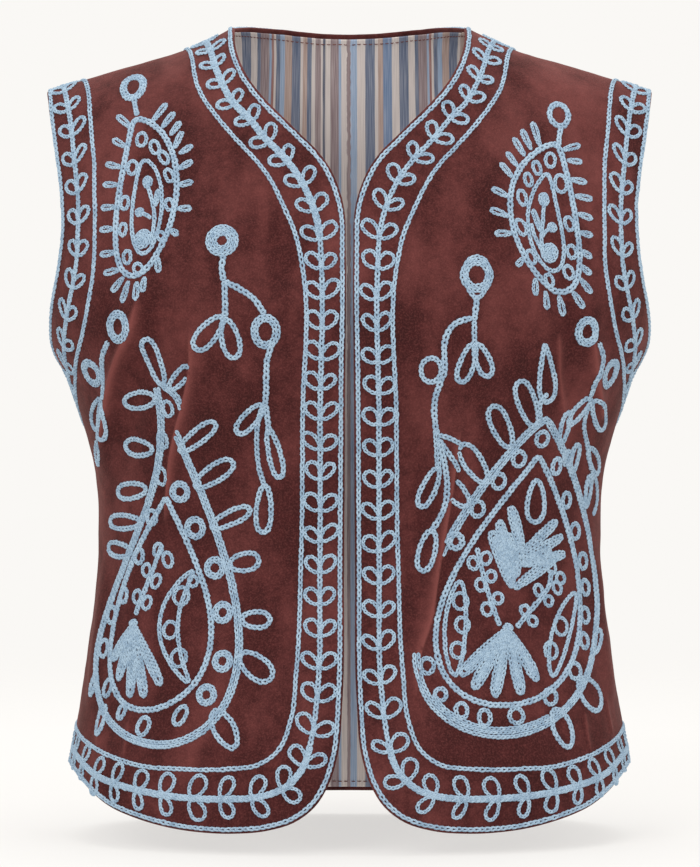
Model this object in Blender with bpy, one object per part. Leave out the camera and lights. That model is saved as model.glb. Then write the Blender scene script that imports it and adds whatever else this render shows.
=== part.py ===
# Embroidered open waistcoat, filled out as it is when worn: two velvet fronts and a velvet back,
# each backed by its own striped cotton lining. Metres, +Z up; the open front faces -Y.
# The origin is midway between the two neck points, on the line of the shoulder seams.
#
# Every piece is drawn flat in cloth coordinates and then laid on the form:
#   across  distance from the centre line round the body, positive towards +X
#   up      distance up the cloth, zero at the height of the neck points on a straight body

from collections import namedtuple

import bmesh
import bpy
import numpy as np
from mathutils import Vector, geometry

VELVET_WALL = 0.0016
LINING_WALL = 0.0010
SEAM_GAP = 0.0003  # between pieces at a seam, and between velvet and lining
LINING_SETBACK = 0.0028  # velvet turned in beyond the lining at every open edge
EDGE_STEP = 0.0140  # spacing of points along an outline
BORDER_STEP = 0.0070  # width of the even strip along each outline
GRID_STEP = 0.0220  # spacing of points inside a piece
FOLD_STATIONS = 7  # points along each fold
SEAM_ANGLE = 100.0  # degrees round from the centre front, where the side seams run
CHEST_HEIGHT = -0.190  # above this the cloth leans in towards the shoulder
UNDERARM_UP = -0.2400
SIDE_HEM_UP = -0.4890
NECK_POINT_ACROSS = 0.0842
SHOULDER_TIP_ACROSS = 0.2170
MIRROR = np.array([-1.0, 1.0])

# Level sections of the form, each a superellipse, from below the hem to the shoulder line.
Section = namedtuple("Section", "height half_width front_depth back_depth squareness")
SECTIONS = [
    Section(-0.570, 0.1970, 0.134, 0.130, 2.30),
    Section(-0.491, 0.1866, 0.128, 0.122, 2.30),  # hem
    Section(-0.424, 0.1759, 0.113, 0.106, 2.25),
    Section(-0.343, 0.1678, 0.098, 0.088, 2.25),  # waist
    Section(-0.303, 0.1692, 0.101, 0.086, 2.25),
    Section(-0.263, 0.1789, 0.109, 0.091, 2.30),
    Section(-0.236, 0.1880, 0.115, 0.095, 2.40),  # underarm
    Section(-0.210, 0.2000, 0.119, 0.099, 2.50),
    Section(-0.190, 0.2030, 0.120, 0.101, 2.55),  # chest
    Section(-0.160, 0.2030, 0.1165, 0.103, 2.60),
    Section(-0.131, 0.2030, 0.109, 0.104, 2.60),
    Section(-0.090, 0.2055, 0.093, 0.100, 2.60),
    Section(-0.060, 0.2080, 0.078, 0.091, 2.60),
    Section(-0.035, 0.2110, 0.062, 0.077, 2.60),
    Section(-0.017, 0.2130, 0.045, 0.059, 2.60),
    Section(-0.006, 0.2140, 0.027, 0.038, 2.60),
    Section(-0.001, 0.2150, 0.012, 0.017, 2.60),
    Section(0.000, 0.2150, 0.000, 0.000, 2.60),  # shoulder line
]

# Slope of the shoulder line, rising at the neck and falling to the shoulder tip.
ShoulderRow = namedtuple("ShoulderRow", "out rise")
SHOULDER_LINE = [
    ShoulderRow(-0.040, 0.0205),
    ShoulderRow(0.000, 0.0300),  # centre back
    ShoulderRow(0.040, 0.0205),
    ShoulderRow(0.077, 0.000),  # neck point
    ShoulderRow(0.104, -0.013),
    ShoulderRow(0.150, -0.027),
    ShoulderRow(0.203, -0.043),  # shoulder tip
    ShoulderRow(0.230, -0.053),
]

# Outlines in cloth coordinates. "seam" and "top" stand for the side seam and the shoulder line.
EdgePoint = namedtuple("EdgePoint", "across up")
FRONT_EDGE = [  # along the hem from the side, round the lower corner and up to the neck point
    EdgePoint("seam", SIDE_HEM_UP),
    EdgePoint(0.2174, -0.4945),
    EdgePoint(0.1586, -0.5155),
    EdgePoint(0.1004, -0.5259),
    EdgePoint(0.0751, -0.5264),
    EdgePoint(0.0524, -0.5241),
    EdgePoint(0.0342, -0.5182),
    EdgePoint(0.0219, -0.5087),
    EdgePoint(0.0136, -0.4955),
    EdgePoint(0.0075, -0.4760),
    EdgePoint(0.0046, -0.4440),
    EdgePoint(0.0035, -0.3600),
    EdgePoint(0.0028, -0.2500),
    EdgePoint(0.0020, -0.1560),
    EdgePoint(0.0026, -0.1359),
    EdgePoint(0.0060, -0.1234),
    EdgePoint(0.0112, -0.1118),
    EdgePoint(0.0196, -0.1001),
    EdgePoint(0.0314, -0.0877),
    EdgePoint(0.0588, -0.0540),
    EdgePoint(0.0724, -0.0297),
    EdgePoint(0.0795, -0.0094),
    EdgePoint(NECK_POINT_ACROSS, "top"),
]
FRONT_ARMHOLE = [  # from the shoulder tip down to the underarm
    EdgePoint(SHOULDER_TIP_ACROSS, "top"),
    EdgePoint(0.2157, -0.0087),
    EdgePoint(0.2100, -0.0541),
    EdgePoint(0.2041, -0.0983),
    EdgePoint(0.2054, -0.1375),
    EdgePoint(0.2134, -0.1702),
    EdgePoint(0.2287, -0.1972),
    EdgePoint(0.2378, -0.2100),
    EdgePoint(0.2480, -0.2240),
    EdgePoint(0.2600, -0.2350),
    EdgePoint("seam", UNDERARM_UP),
]
BACK_NECK = [  # from the centre back to the neck point
    EdgePoint(0.0000, -0.0166),
    EdgePoint(0.0177, -0.0135),
    EdgePoint(0.0320, -0.0070),
    EdgePoint(0.0466, 0.0028),
    EdgePoint(0.0619, 0.0188),
    EdgePoint(0.0770, 0.0426),
    EdgePoint(NECK_POINT_ACROSS, "top"),
]
BACK_ARMHOLE = [
    EdgePoint(SHOULDER_TIP_ACROSS, "top"),
    EdgePoint(0.2173, 0.0016),
    EdgePoint(0.2107, -0.0727),
    EdgePoint(0.2040, -0.1246),
    EdgePoint(0.2000, -0.1630),
    EdgePoint(0.1945, -0.1950),
    EdgePoint(0.1935, -0.2130),
    EdgePoint(0.1965, -0.2290),
    EdgePoint(0.2030, -0.2375),
    EdgePoint("seam", UNDERARM_UP),
]
BACK_HEM = [  # from the side seam to the centre back
    EdgePoint("seam", SIDE_HEM_UP),
    EdgePoint(0.1700, -0.5060),
    EdgePoint(0.1200, -0.5180),
    EdgePoint(0.0600, -0.5230),
    EdgePoint(0.0000, -0.5234),
]

# Soft folds and darts, as ridges (height above zero) and troughs (below zero) of the cloth.
# Each runs along a bent line from its start through its middle to its end.
Fold = namedtuple("Fold", "piece across up mid_across mid_up end_across end_up width height")
FOLDS = [
    Fold("front_right", -0.130, -0.168, -0.1580, -0.228, -0.186, -0.300, 0.0075, 0.0042),
    Fold("front_right", -0.114, -0.182, -0.1390, -0.240, -0.162, -0.305, 0.0090, -0.0034),
    Fold("front_right", -0.103, -0.190, -0.1090, -0.252, -0.123, -0.318, 0.0050, -0.0026),
    Fold("front_right", -0.180, -0.360, -0.1900, -0.410, -0.196, -0.455, 0.0110, 0.0026),
    Fold("front_left", 0.108, -0.035, 0.0960, -0.120, 0.1210, -0.210, 0.0110, 0.0028),
    Fold("front_left", 0.132, -0.150, 0.1400, -0.205, 0.1500, -0.265, 0.0090, -0.0026),
    Fold("front_left", 0.158, -0.180, 0.1680, -0.225, 0.1850, -0.275, 0.0080, 0.0026),
    Fold("front_left", 0.073, -0.265, 0.0612, -0.345, 0.0430, -0.444, 0.0050, -0.0026),
    Fold("front_left", 0.188, -0.350, 0.1930, -0.400, 0.2050, -0.450, 0.0110, 0.0026),
    Fold("back", -0.092, -0.255, -0.0880, -0.350, -0.0950, -0.440, 0.0055, -0.0028),
    Fold("back", 0.090, -0.250, 0.0860, -0.345, 0.0920, -0.445, 0.0055, -0.0028),
    Fold("back", -0.150, -0.200, -0.1300, -0.265, -0.1180, -0.330, 0.0110, 0.0028),
    Fold("back", 0.158, -0.195, 0.1370, -0.255, 0.1200, -0.315, 0.0105, 0.0032),
    Fold("back", -0.060, -0.300, -0.0100, -0.318, 0.0450, -0.306, 0.0120, -0.0024),
    Fold("back", -0.130, -0.420, -0.1350, -0.460, -0.1420, -0.500, 0.0120, 0.0026),
    Fold("back", 0.140, -0.410, 0.1450, -0.455, 0.1500, -0.495, 0.0120, 0.0026),
]

VELVET_COLOUR = (0.118, 0.040, 0.034, 1.0)
LINING_COLOUR = (0.330, 0.340, 0.370, 1.0)


def smooth(x, knots, values):
    # A smooth curve through the values at the knots, read at x.
    x, knots, values = (np.asarray(each, float) for each in (x, knots, values))
    steps = np.diff(knots)
    slopes = np.diff(values) / steps
    tangents = np.empty_like(values)
    tangents[1:-1] = (slopes[:-1] * steps[1:] + slopes[1:] * steps[:-1]) / (steps[:-1] + steps[1:])
    tangents[0] = slopes[0]
    tangents[-1] = slopes[-1]
    row = np.clip(np.searchsorted(knots, x, side="right") - 1, 0, len(knots) - 2)
    u = (x - knots[row]) / steps[row]
    start = values[row] * (1 + 2 * u) * (1 - u) ** 2
    end = values[row + 1] * u * u * (3 - 2 * u)
    leave = steps[row] * tangents[row] * u * (1 - u) ** 2
    arrive = steps[row] * tangents[row + 1] * u * u * (u - 1)
    return start + leave + end + arrive


class Form:
    # One half of the body of the garment, which turns cloth coordinates into places in space.

    STATIONS = 161
    TURNS = 301
    REACH = 0.340

    def __init__(self, facing):
        self.facing = facing
        near, far = ("front_depth", "back_depth") if facing < 0 else ("back_depth", "front_depth")
        heights = np.array([row.height for row in SECTIONS])
        self.heights = heights
        self.half_widths = [row.half_width for row in SECTIONS]
        self.near = np.array([getattr(row, near) for row in SECTIONS])
        self.far = [getattr(row, far) for row in SECTIONS]
        self.squareness = [row.squareness for row in SECTIONS]
        self.ups = heights.copy()
        for i in range(1, len(SECTIONS)):
            rise = heights[i] - heights[i - 1]
            lean = self.near[i] - self.near[i - 1] if heights[i] > CHEST_HEIGHT else 0.0
            self.ups[i] = self.ups[i - 1] + np.hypot(rise, lean)
        self.top = self.ups[-1]
        self.stations = np.linspace(self.ups[0], self.top, self.STATIONS)
        self.angles = np.linspace(0.0, 0.75 * np.pi, self.TURNS)
        up, angle = np.meshgrid(self.stations, self.angles, indexing="ij")
        runs = np.linalg.norm(np.diff(self.at_angle(angle, up), axis=1), axis=2)
        self.arcs = np.concatenate([np.zeros((self.STATIONS, 1)), np.cumsum(runs, axis=1)], axis=1)
        self.reaches = np.linspace(0.0, self.REACH, self.TURNS)
        self.table = np.array([np.interp(self.reaches, arc, self.angles) for arc in self.arcs])

    def at_angle(self, angle, up):
        height = smooth(up, self.ups, self.heights)
        half_width = smooth(up, self.ups, self.half_widths)
        power = 2 / smooth(up, self.ups, self.squareness)
        depth = np.where(
            np.cos(angle) >= 0, smooth(up, self.ups, self.near), smooth(up, self.ups, self.far)
        )
        x = half_width * np.abs(np.sin(angle)) ** power
        y = self.facing * depth * np.sign(np.cos(angle)) * np.abs(np.cos(angle)) ** power
        share = np.clip((height - CHEST_HEIGHT) / -CHEST_HEIGHT, 0, 1)
        share = share * share * (3 - 2 * share)
        slope = smooth(x, [row.out for row in SHOULDER_LINE], [row.rise for row in SHOULDER_LINE])
        return np.stack([x, y, height + share * slope], -1)

    def rows(self, up):
        place = (up - self.stations[0]) / (self.stations[1] - self.stations[0])
        row = np.clip(place, 0, self.STATIONS - 1.000001).astype(int)
        return row, np.clip(place, 0, self.STATIONS - 1) - row

    def seam(self, up):
        # How far across the side seam runs at this height.
        angle = np.radians(SEAM_ANGLE if self.facing < 0 else 180 - SEAM_ANGLE)
        column = np.array([np.interp(angle, self.angles, arc) for arc in self.arcs])
        row, part = self.rows(np.asarray(up, float))
        return column[row] * (1 - part) + column[row + 1] * part

    def point(self, across, up):
        across, up = np.asarray(across, float), np.asarray(up, float)
        over = up > self.top  # past the shoulder line the form turns down on the other side
        up = np.where(over, 2 * self.top - up, up)
        row, part = self.rows(up)
        place = np.clip(np.abs(across) / self.reaches[1], 0, self.TURNS - 1.000001)
        column = place.astype(int)
        inner = place - column
        low = self.table[row, column] * (1 - inner) + self.table[row, column + 1] * inner
        high = self.table[row + 1, column] * (1 - inner) + self.table[row + 1, column + 1] * inner
        place = self.at_angle(low * (1 - part) + high * part, up)
        place[..., 0] *= np.where(across < 0, -1, 1)
        place[..., 1] *= np.where(over, -1, 1)
        return place

    def normal(self, across, up, reach=0.0008):
        sideways = self.point(across + reach, up) - self.point(across - reach, up)
        upwards = self.point(across, up + reach) - self.point(across, up - reach)
        outward = -self.facing * np.cross(sideways, upwards)
        return outward / np.linalg.norm(outward, axis=-1, keepdims=True)


def fold_line(fold, count):
    # Places along a fold, bent so that it passes through its middle.
    start = np.array([fold.across, fold.up])
    middle = np.array([fold.mid_across, fold.mid_up])
    end = np.array([fold.end_across, fold.end_up])
    pull = 2 * middle - (start + end) / 2
    u = np.linspace(0, 1, count)[:, None]
    return start * (1 - u) ** 2 + 2 * pull * u * (1 - u) + end * u**2


def fold_height(fold, across, up):
    # How far one fold lifts the cloth at each place.
    line = fold_line(fold, 25)
    places = np.stack([across, up], -1)
    closest = np.full(len(places), np.inf)
    reached = np.zeros(len(places))
    for i, (a, b) in enumerate(zip(line[:-1], line[1:])):
        share = np.clip((places - a) @ (b - a) / ((b - a) @ (b - a)), 0, 1)
        distance = np.linalg.norm(places - (a + share[:, None] * (b - a)), axis=1)
        better = distance < closest
        closest = np.where(better, distance, closest)
        reached = np.where(better, (i + share) / (len(line) - 1), reached)
    fade = 1 - (2 * reached - 1) ** 4
    return fold.height * fade * np.exp(-((closest / fold.width) ** 2))


def fold_points(piece):
    # Points along the crest and both flanks of every fold of a piece.
    rows = [np.empty((0, 2))]
    for fold in (fold for fold in FOLDS if fold.piece == piece):
        line = fold_line(fold, FOLD_STATIONS)
        ahead = np.gradient(line, axis=0)
        ahead /= np.linalg.norm(ahead, axis=1, keepdims=True)
        aside = np.stack([-ahead[:, 1], ahead[:, 0]], -1)
        rows += [line + aside * fold.width * flank for flank in (-1.2, 0.0, 1.2)]
    return np.concatenate(rows)


def laid_out(form, piece, places):
    # The places of a piece on the form with its folds, and the directions out of the cloth there.
    across, up = places[:, 0], places[:, 1]
    out = form.normal(across, up)
    lift = sum(fold_height(fold, across, up) for fold in FOLDS if fold.piece == piece)
    return form.point(across, up) + out * lift[:, None], out


def edge_points(form, rows):
    # The rows as places, with "seam" and "top" set back by half a seam.
    places = []
    for row in rows:
        up = form.top - SEAM_GAP / 2 if row.up == "top" else row.up
        across = form.seam(up) - SEAM_GAP / 2 if row.across == "seam" else row.across
        places.append((float(across), float(up)))
    return np.array(places)


def both_sides(places):
    # A line from the centre outwards, carried on through the centre to the other side.
    return np.concatenate([places[:0:-1] * MIRROR, places])


def evenly_spaced(places):
    # A smooth line through the places with a point about every EDGE_STEP.
    runs = np.linalg.norm(np.diff(places, axis=0), axis=1)
    lengths = np.concatenate([[0], np.cumsum(runs)])
    at = np.linspace(0, lengths[-1], int(np.ceil(lengths[-1] / EDGE_STEP)) + 1)
    return np.stack([smooth(at, lengths, places[:, axis]) for axis in (0, 1)], -1)


def side_seam(form):
    count = int(np.ceil((UNDERARM_UP - SIDE_HEM_UP) / EDGE_STEP)) + 1
    up = np.linspace(SIDE_HEM_UP, UNDERARM_UP, count)
    return np.stack([form.seam(up) - SEAM_GAP / 2, up], -1)


def shoulder_seam(form):
    count = int(np.ceil((SHOULDER_TIP_ACROSS - NECK_POINT_ACROSS) / EDGE_STEP)) + 1
    across = np.linspace(SHOULDER_TIP_ACROSS, NECK_POINT_ACROSS, count)
    return np.stack([across, np.full(count, form.top - SEAM_GAP / 2)], -1)


def closed_outline(edges):
    # One outline from edges that meet end to end, and whether each of its points is sewn down.
    # A corner counts as open, because it is turned in with the open edge beside it.
    places = np.concatenate([line[:-1] for line, _ in edges])
    sewn = []
    for line, on_seam in edges:
        sewn += [False] + [on_seam] * (len(line) - 2)
    return places, np.array(sewn)


def front_outline(form):
    # Counter-clockwise from the neck point: front edge, hem, side seam, armhole, shoulder seam.
    return closed_outline(
        [
            (evenly_spaced(edge_points(form, FRONT_EDGE))[::-1], False),
            (side_seam(form), True),
            (evenly_spaced(edge_points(form, FRONT_ARMHOLE))[::-1], False),
            (shoulder_seam(form), True),
        ]
    )


def back_outline(form):
    # Counter-clockwise from the hem of the -X side seam.
    side = side_seam(form)
    armhole = evenly_spaced(edge_points(form, BACK_ARMHOLE))[::-1]
    shoulder = shoulder_seam(form)
    hem = evenly_spaced(both_sides(edge_points(form, BACK_HEM)[::-1]))
    neck = evenly_spaced(both_sides(edge_points(form, BACK_NECK)))
    return closed_outline(
        [
            (hem, False),
            (side, True),
            (armhole, False),
            (shoulder, True),
            (neck[::-1], False),
            ((shoulder * MIRROR)[::-1], True),
            ((armhole * MIRROR)[::-1], False),
            ((side * MIRROR)[::-1], True),
        ]
    )


def mirrored_outline(outline):
    places, sewn = outline
    return (places * MIRROR)[::-1], sewn[::-1]


def inset(places, distance):
    # The closed line drawn in by a distance, corners along their bisector.
    ahead = np.roll(places, -1, axis=0) - places
    ahead /= np.linalg.norm(ahead, axis=1, keepdims=True)
    inward = np.stack([-ahead[:, 1], ahead[:, 0]], -1)
    both = inward + np.roll(inward, 1, axis=0)
    return places + distance * 2 * both / (both * both).sum(1, keepdims=True)


def clearance(places, outline):
    # Distance of each place inside a closed line, negative outside it.
    inside = np.zeros(len(places), bool)
    closest = np.full(len(places), np.inf)
    for a, b in zip(outline, np.roll(outline, -1, axis=0)):
        share = np.clip((places - a) @ (b - a) / ((b - a) @ (b - a)), 0, 1)
        distance = np.linalg.norm(places - (a + share[:, None] * (b - a)), axis=1)
        closest = np.minimum(closest, distance)
        if a[1] != b[1]:
            crosses = (places[:, 1] < a[1]) != (places[:, 1] < b[1])
            at = a[0] + (places[:, 1] - a[1]) * (b[0] - a[0]) / (b[1] - a[1])
            inside ^= crosses & (places[:, 0] < at)
    return np.where(inside, closest, -closest)


def thinned(places, kept, spacing):
    # The places that are further than a spacing from every kept one.
    if not len(kept):
        return places
    gaps = np.linalg.norm(places[:, None] - kept[None], axis=2)
    return places[gaps.min(1) > spacing]


def field_points(outline, piece):
    # Points well inside a closed line: those of the folds, and between them an even grid.
    low, high = outline.min(0), outline.max(0)
    folded = fold_points(piece)
    folded = folded[clearance(folded, outline) > 0.3 * GRID_STEP]
    crossing = [folded[:0]]
    for place in folded:
        if len(thinned(place[None], np.concatenate(crossing), 0.0035)):
            crossing.append(place[None])
    folded = np.concatenate(crossing)
    grid = []
    for i, up in enumerate(np.arange(low[1], high[1], GRID_STEP * np.sqrt(3) / 2)):
        across = np.arange(low[0] + GRID_STEP / 2 * (i % 2), high[0], GRID_STEP)
        grid.append(np.stack([across, np.full(len(across), up)], -1))
    grid = np.concatenate(grid)
    grid = grid[clearance(grid, outline) > 0.5 * GRID_STEP]
    return np.concatenate([folded, thinned(grid, folded, 0.6 * GRID_STEP)])


def triangulated(outline, piece):
    # Places and counter-clockwise triangles: an even strip along the outline, then the field.
    count = len(outline)
    inner = inset(outline, BORDER_STEP)
    field = field_points(inner, piece)
    strip = []
    for i in range(count):
        j = (i + 1) % count
        strip += [(i, j, count + j), (i, count + j, count + i)]
    loose = [Vector(place) for place in np.concatenate([inner, field])]
    found = geometry.delaunay_2d_cdt(loose, [], [list(range(count))], 1, 1e-7)
    source = [origins[0] for origins in found[3]]
    filled = []
    for triangle in found[2]:
        a, b, c = (source[corner] for corner in triangle)
        turn = (loose[b] - loose[a]).cross(loose[c] - loose[a])
        filled.append((a, b, c) if turn > 0 else (a, c, b))
    triangles = np.array(strip + [tuple(count + corner for corner in each) for each in filled])
    return np.concatenate([outline, inner, field]), triangles


def wall(name, form, outline, sewn, depth, thickness, setback, material):
    # A cloth wall whose outer face lies at a depth under the form, as one closed solid.
    piece = name.replace("lining_", "")
    places, triangles = triangulated(outline, piece)
    count = len(outline)
    points, out = laid_out(form, piece, places)
    share = np.where(sewn, 0.0, setback / BORDER_STEP)[:, None]
    points[:count] += share * (points[count : 2 * count] - points[:count])
    out[:count] += share * (out[count : 2 * count] - out[:count])
    # The rims that meet along a shoulder run straight in, half a gap from the line between them.
    on_shoulder = np.abs(places[:count, 1] - form.top + SEAM_GAP / 2) < 1e-7
    points[:count, 1] = np.where(on_shoulder, form.facing * SEAM_GAP / 2, points[:count, 1])
    out[:count, 1] = np.where(on_shoulder, 0.0, out[:count, 1])
    out[:count] /= np.linalg.norm(out[:count], axis=1, keepdims=True)
    outer = points - out * depth
    inner = points - out * (depth + thickness)
    if form.facing > 0:
        triangles = triangles[:, ::-1]
    total = len(points)
    rim = []
    for i in range(count):
        j = (i + 1) % count
        quad = [(i, total + i, total + j), (i, total + j, j)]
        rim += quad if form.facing < 0 else [face[::-1] for face in quad]
    faces = np.concatenate([triangles, triangles[:, ::-1] + total, np.array(rim)])
    built = bmesh.new()
    corners = [built.verts.new(place) for place in np.concatenate([outer, inner])]
    for face in faces.tolist():
        built.faces.new([corners[corner] for corner in face]).smooth = True
    mesh = bpy.data.meshes.new(name)
    built.to_mesh(mesh)
    built.free()
    mesh.set_sharp_from_angle(angle=np.radians(50))
    mesh.materials.append(material)
    bpy.context.scene.collection.objects.link(bpy.data.objects.new(name, mesh))


def cloth_material(name, colour, roughness):
    material = bpy.data.materials.new(name)
    material.use_nodes = True
    shader = material.node_tree.nodes["Principled BSDF"]
    shader.inputs["Base Color"].default_value = colour
    shader.inputs["Roughness"].default_value = roughness
    shader.inputs["Metallic"].default_value = 0.0
    return material


def clear_scene():
    for thing in list(bpy.data.objects):
        bpy.data.objects.remove(thing, do_unlink=True)


def main():
    clear_scene()
    velvet = cloth_material("velvet", VELVET_COLOUR, 0.85)
    lining = cloth_material("lining", LINING_COLOUR, 0.90)
    front, back = Form(-1), Form(1)
    left = front_outline(front)
    panels = [
        ("front_right", front, *mirrored_outline(left)),
        ("front_left", front, *left),
        ("back", back, *back_outline(back)),
    ]
    for name, form, outline, sewn in panels:
        wall(name, form, outline, sewn, 0.0, VELVET_WALL, 0.0, velvet)
        depth = VELVET_WALL + SEAM_GAP
        wall("lining_" + name, form, outline, sewn, depth, LINING_WALL, LINING_SETBACK, lining)


main()
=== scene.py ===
from collections import namedtuple

import bpy
import numpy as np
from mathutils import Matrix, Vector, geometry


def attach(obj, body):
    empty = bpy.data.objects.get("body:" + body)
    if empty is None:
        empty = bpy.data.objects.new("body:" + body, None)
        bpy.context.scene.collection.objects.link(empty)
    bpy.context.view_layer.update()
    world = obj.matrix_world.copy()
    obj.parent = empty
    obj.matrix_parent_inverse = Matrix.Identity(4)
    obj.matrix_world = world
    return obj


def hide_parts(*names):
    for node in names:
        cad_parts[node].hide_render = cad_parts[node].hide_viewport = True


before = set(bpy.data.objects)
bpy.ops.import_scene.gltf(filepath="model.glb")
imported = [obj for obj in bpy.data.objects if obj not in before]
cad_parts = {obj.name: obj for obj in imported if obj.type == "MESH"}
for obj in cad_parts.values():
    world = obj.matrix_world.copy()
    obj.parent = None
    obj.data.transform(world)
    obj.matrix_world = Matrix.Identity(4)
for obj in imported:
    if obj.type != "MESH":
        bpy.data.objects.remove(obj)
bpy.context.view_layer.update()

# The form: level sections of a worn body, each a superellipse, from below the hem to the shoulder line.
Section = namedtuple("Section", "height halfWidth frontDepth backDepth squareness")
sections = [
    Section(-0.570, 0.1970, 0.134, 0.130, 2.30),
    Section(-0.491, 0.1866, 0.128, 0.122, 2.30),  # hem
    Section(-0.424, 0.1759, 0.113, 0.106, 2.25),
    Section(-0.343, 0.1678, 0.098, 0.088, 2.25),  # waist
    Section(-0.303, 0.1692, 0.101, 0.086, 2.25),
    Section(-0.263, 0.1789, 0.109, 0.091, 2.30),
    Section(-0.236, 0.1880, 0.115, 0.095, 2.40),  # underarm
    Section(-0.210, 0.2000, 0.119, 0.099, 2.50),
    Section(-0.190, 0.2030, 0.120, 0.101, 2.55),  # chest
    Section(-0.160, 0.2030, 0.1165, 0.103, 2.60),
    Section(-0.131, 0.2030, 0.109, 0.104, 2.60),
    Section(-0.090, 0.2055, 0.093, 0.100, 2.60),
    Section(-0.060, 0.2080, 0.078, 0.091, 2.60),
    Section(-0.035, 0.2110, 0.062, 0.077, 2.60),
    Section(-0.017, 0.2130, 0.045, 0.059, 2.60),
    Section(-0.006, 0.2140, 0.027, 0.038, 2.60),
    Section(-0.001, 0.2150, 0.012, 0.017, 2.60),
    Section(0.000, 0.2150, 0.000, 0.000, 2.60),  # shoulder line
]
shoulderOut = [-0.040, 0.000, 0.040, 0.077, 0.104, 0.150, 0.203, 0.230]
shoulderRise = [0.0205, 0.0300, 0.0205, 0.000, -0.013, -0.027, -0.043, -0.053]
chestHeight = -0.190  # above this the cloth leans in towards the shoulder
# how finely places on the form are worked out, how far round, and to what share of a half turn
formTable = {"rows": 160, "columns": 300, "reach": 0.340, "sweep": 0.75}
seamAngle = 100.0  # degrees round from the centre front, where the side seams run
mirror = np.array([-1.0, 1.0])

# Outlines in cloth coordinates: across from the centre line round the body, up along the cloth.
cut = {
    "underarmUp": -0.2400,
    "sideHemUp": -0.4890,
    "neckPointAcross": 0.0842,
    "shoulderTipAcross": 0.2170,
    "sideSeamLength": 0.249,
    "shoulderSeamLength": 0.133,
    "outlineStep": 0.0042,  # between points along an outline
}
frontEdge = [  # hem from the side, round the lower corner and up to the neck point
    ("seam", cut["sideHemUp"]), (0.2174, -0.4945), (0.1586, -0.5155), (0.1004, -0.5259),
    (0.0751, -0.5264), (0.0524, -0.5241), (0.0342, -0.5182), (0.0219, -0.5087), (0.0136, -0.4955),
    (0.0075, -0.4760), (0.0046, -0.4440), (0.0035, -0.3600), (0.0028, -0.2500), (0.0020, -0.1560),
    (0.0026, -0.1359), (0.0060, -0.1234), (0.0112, -0.1118), (0.0196, -0.1001), (0.0314, -0.0877),
    (0.0588, -0.0540), (0.0724, -0.0297), (0.0795, -0.0094), (cut["neckPointAcross"], "top"),
]
frontArmhole = [  # shoulder tip down to the underarm
    (cut["shoulderTipAcross"], "top"), (0.2157, -0.0087), (0.2100, -0.0541), (0.2041, -0.0983),
    (0.2054, -0.1375), (0.2134, -0.1702), (0.2287, -0.1972), (0.2378, -0.2100), (0.2480, -0.2240),
    (0.2600, -0.2350), ("seam", cut["underarmUp"]),
]
backNeck = [  # centre back to the neck point
    (0.0000, -0.0166), (0.0177, -0.0135), (0.0320, -0.0070), (0.0466, 0.0028), (0.0619, 0.0188),
    (0.0770, 0.0426), (cut["neckPointAcross"], "top"),
]
backArmhole = [
    (cut["shoulderTipAcross"], "top"), (0.2173, 0.0016), (0.2107, -0.0727), (0.2040, -0.1246),
    (0.2000, -0.1630), (0.1945, -0.1950), (0.1935, -0.2130), (0.1965, -0.2290), (0.2030, -0.2375),
    ("seam", cut["underarmUp"]),
]
backHem = [  # side seam to the centre back
    ("seam", cut["sideHemUp"]), (0.1700, -0.5060), (0.1200, -0.5180), (0.0600, -0.5230), (0.0000, -0.5234),
]

# Folds of the cloth along bent lines: start, middle, end, width to either side, height.
Fold = namedtuple("Fold", "start middle end width height")
folds = {
    "front_right": [
        Fold((-0.130, -0.168), (-0.1580, -0.228), (-0.186, -0.300), 0.0085, 0.0030),
        Fold((-0.114, -0.182), (-0.1390, -0.240), (-0.162, -0.305), 0.0090, -0.0030),
        Fold((-0.103, -0.190), (-0.1090, -0.252), (-0.123, -0.318), 0.0050, -0.0026),
        Fold((-0.180, -0.360), (-0.1900, -0.410), (-0.196, -0.455), 0.0110, 0.0026),
    ],
    "front_left": [
        Fold((0.108, -0.035), (0.0960, -0.120), (0.1210, -0.210), 0.0110, 0.0028),
        Fold((0.132, -0.150), (0.1400, -0.205), (0.1500, -0.265), 0.0090, -0.0026),
        Fold((0.158, -0.180), (0.1680, -0.225), (0.1850, -0.275), 0.0080, 0.0026),
        Fold((0.073, -0.265), (0.0612, -0.345), (0.0430, -0.444), 0.0050, -0.0026),
        Fold((0.188, -0.350), (0.1930, -0.400), (0.2050, -0.450), 0.0110, 0.0026),
    ],
    "back": [
        Fold((-0.092, -0.255), (-0.0880, -0.350), (-0.0950, -0.440), 0.0055, -0.0028),
        Fold((0.090, -0.250), (0.0860, -0.345), (0.0920, -0.445), 0.0055, -0.0028),
        Fold((-0.150, -0.200), (-0.1300, -0.265), (-0.1180, -0.330), 0.0110, 0.0028),
        Fold((0.158, -0.195), (0.1370, -0.255), (0.1200, -0.315), 0.0105, 0.0032),
        Fold((-0.060, -0.300), (-0.0100, -0.318), (0.0450, -0.306), 0.0120, -0.0024),
        Fold((-0.130, -0.420), (-0.1350, -0.460), (-0.1420, -0.500), 0.0120, 0.0026),
        Fold((0.140, -0.410), (0.1450, -0.455), (0.1500, -0.495), 0.0120, 0.0026),
    ],
}

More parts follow.
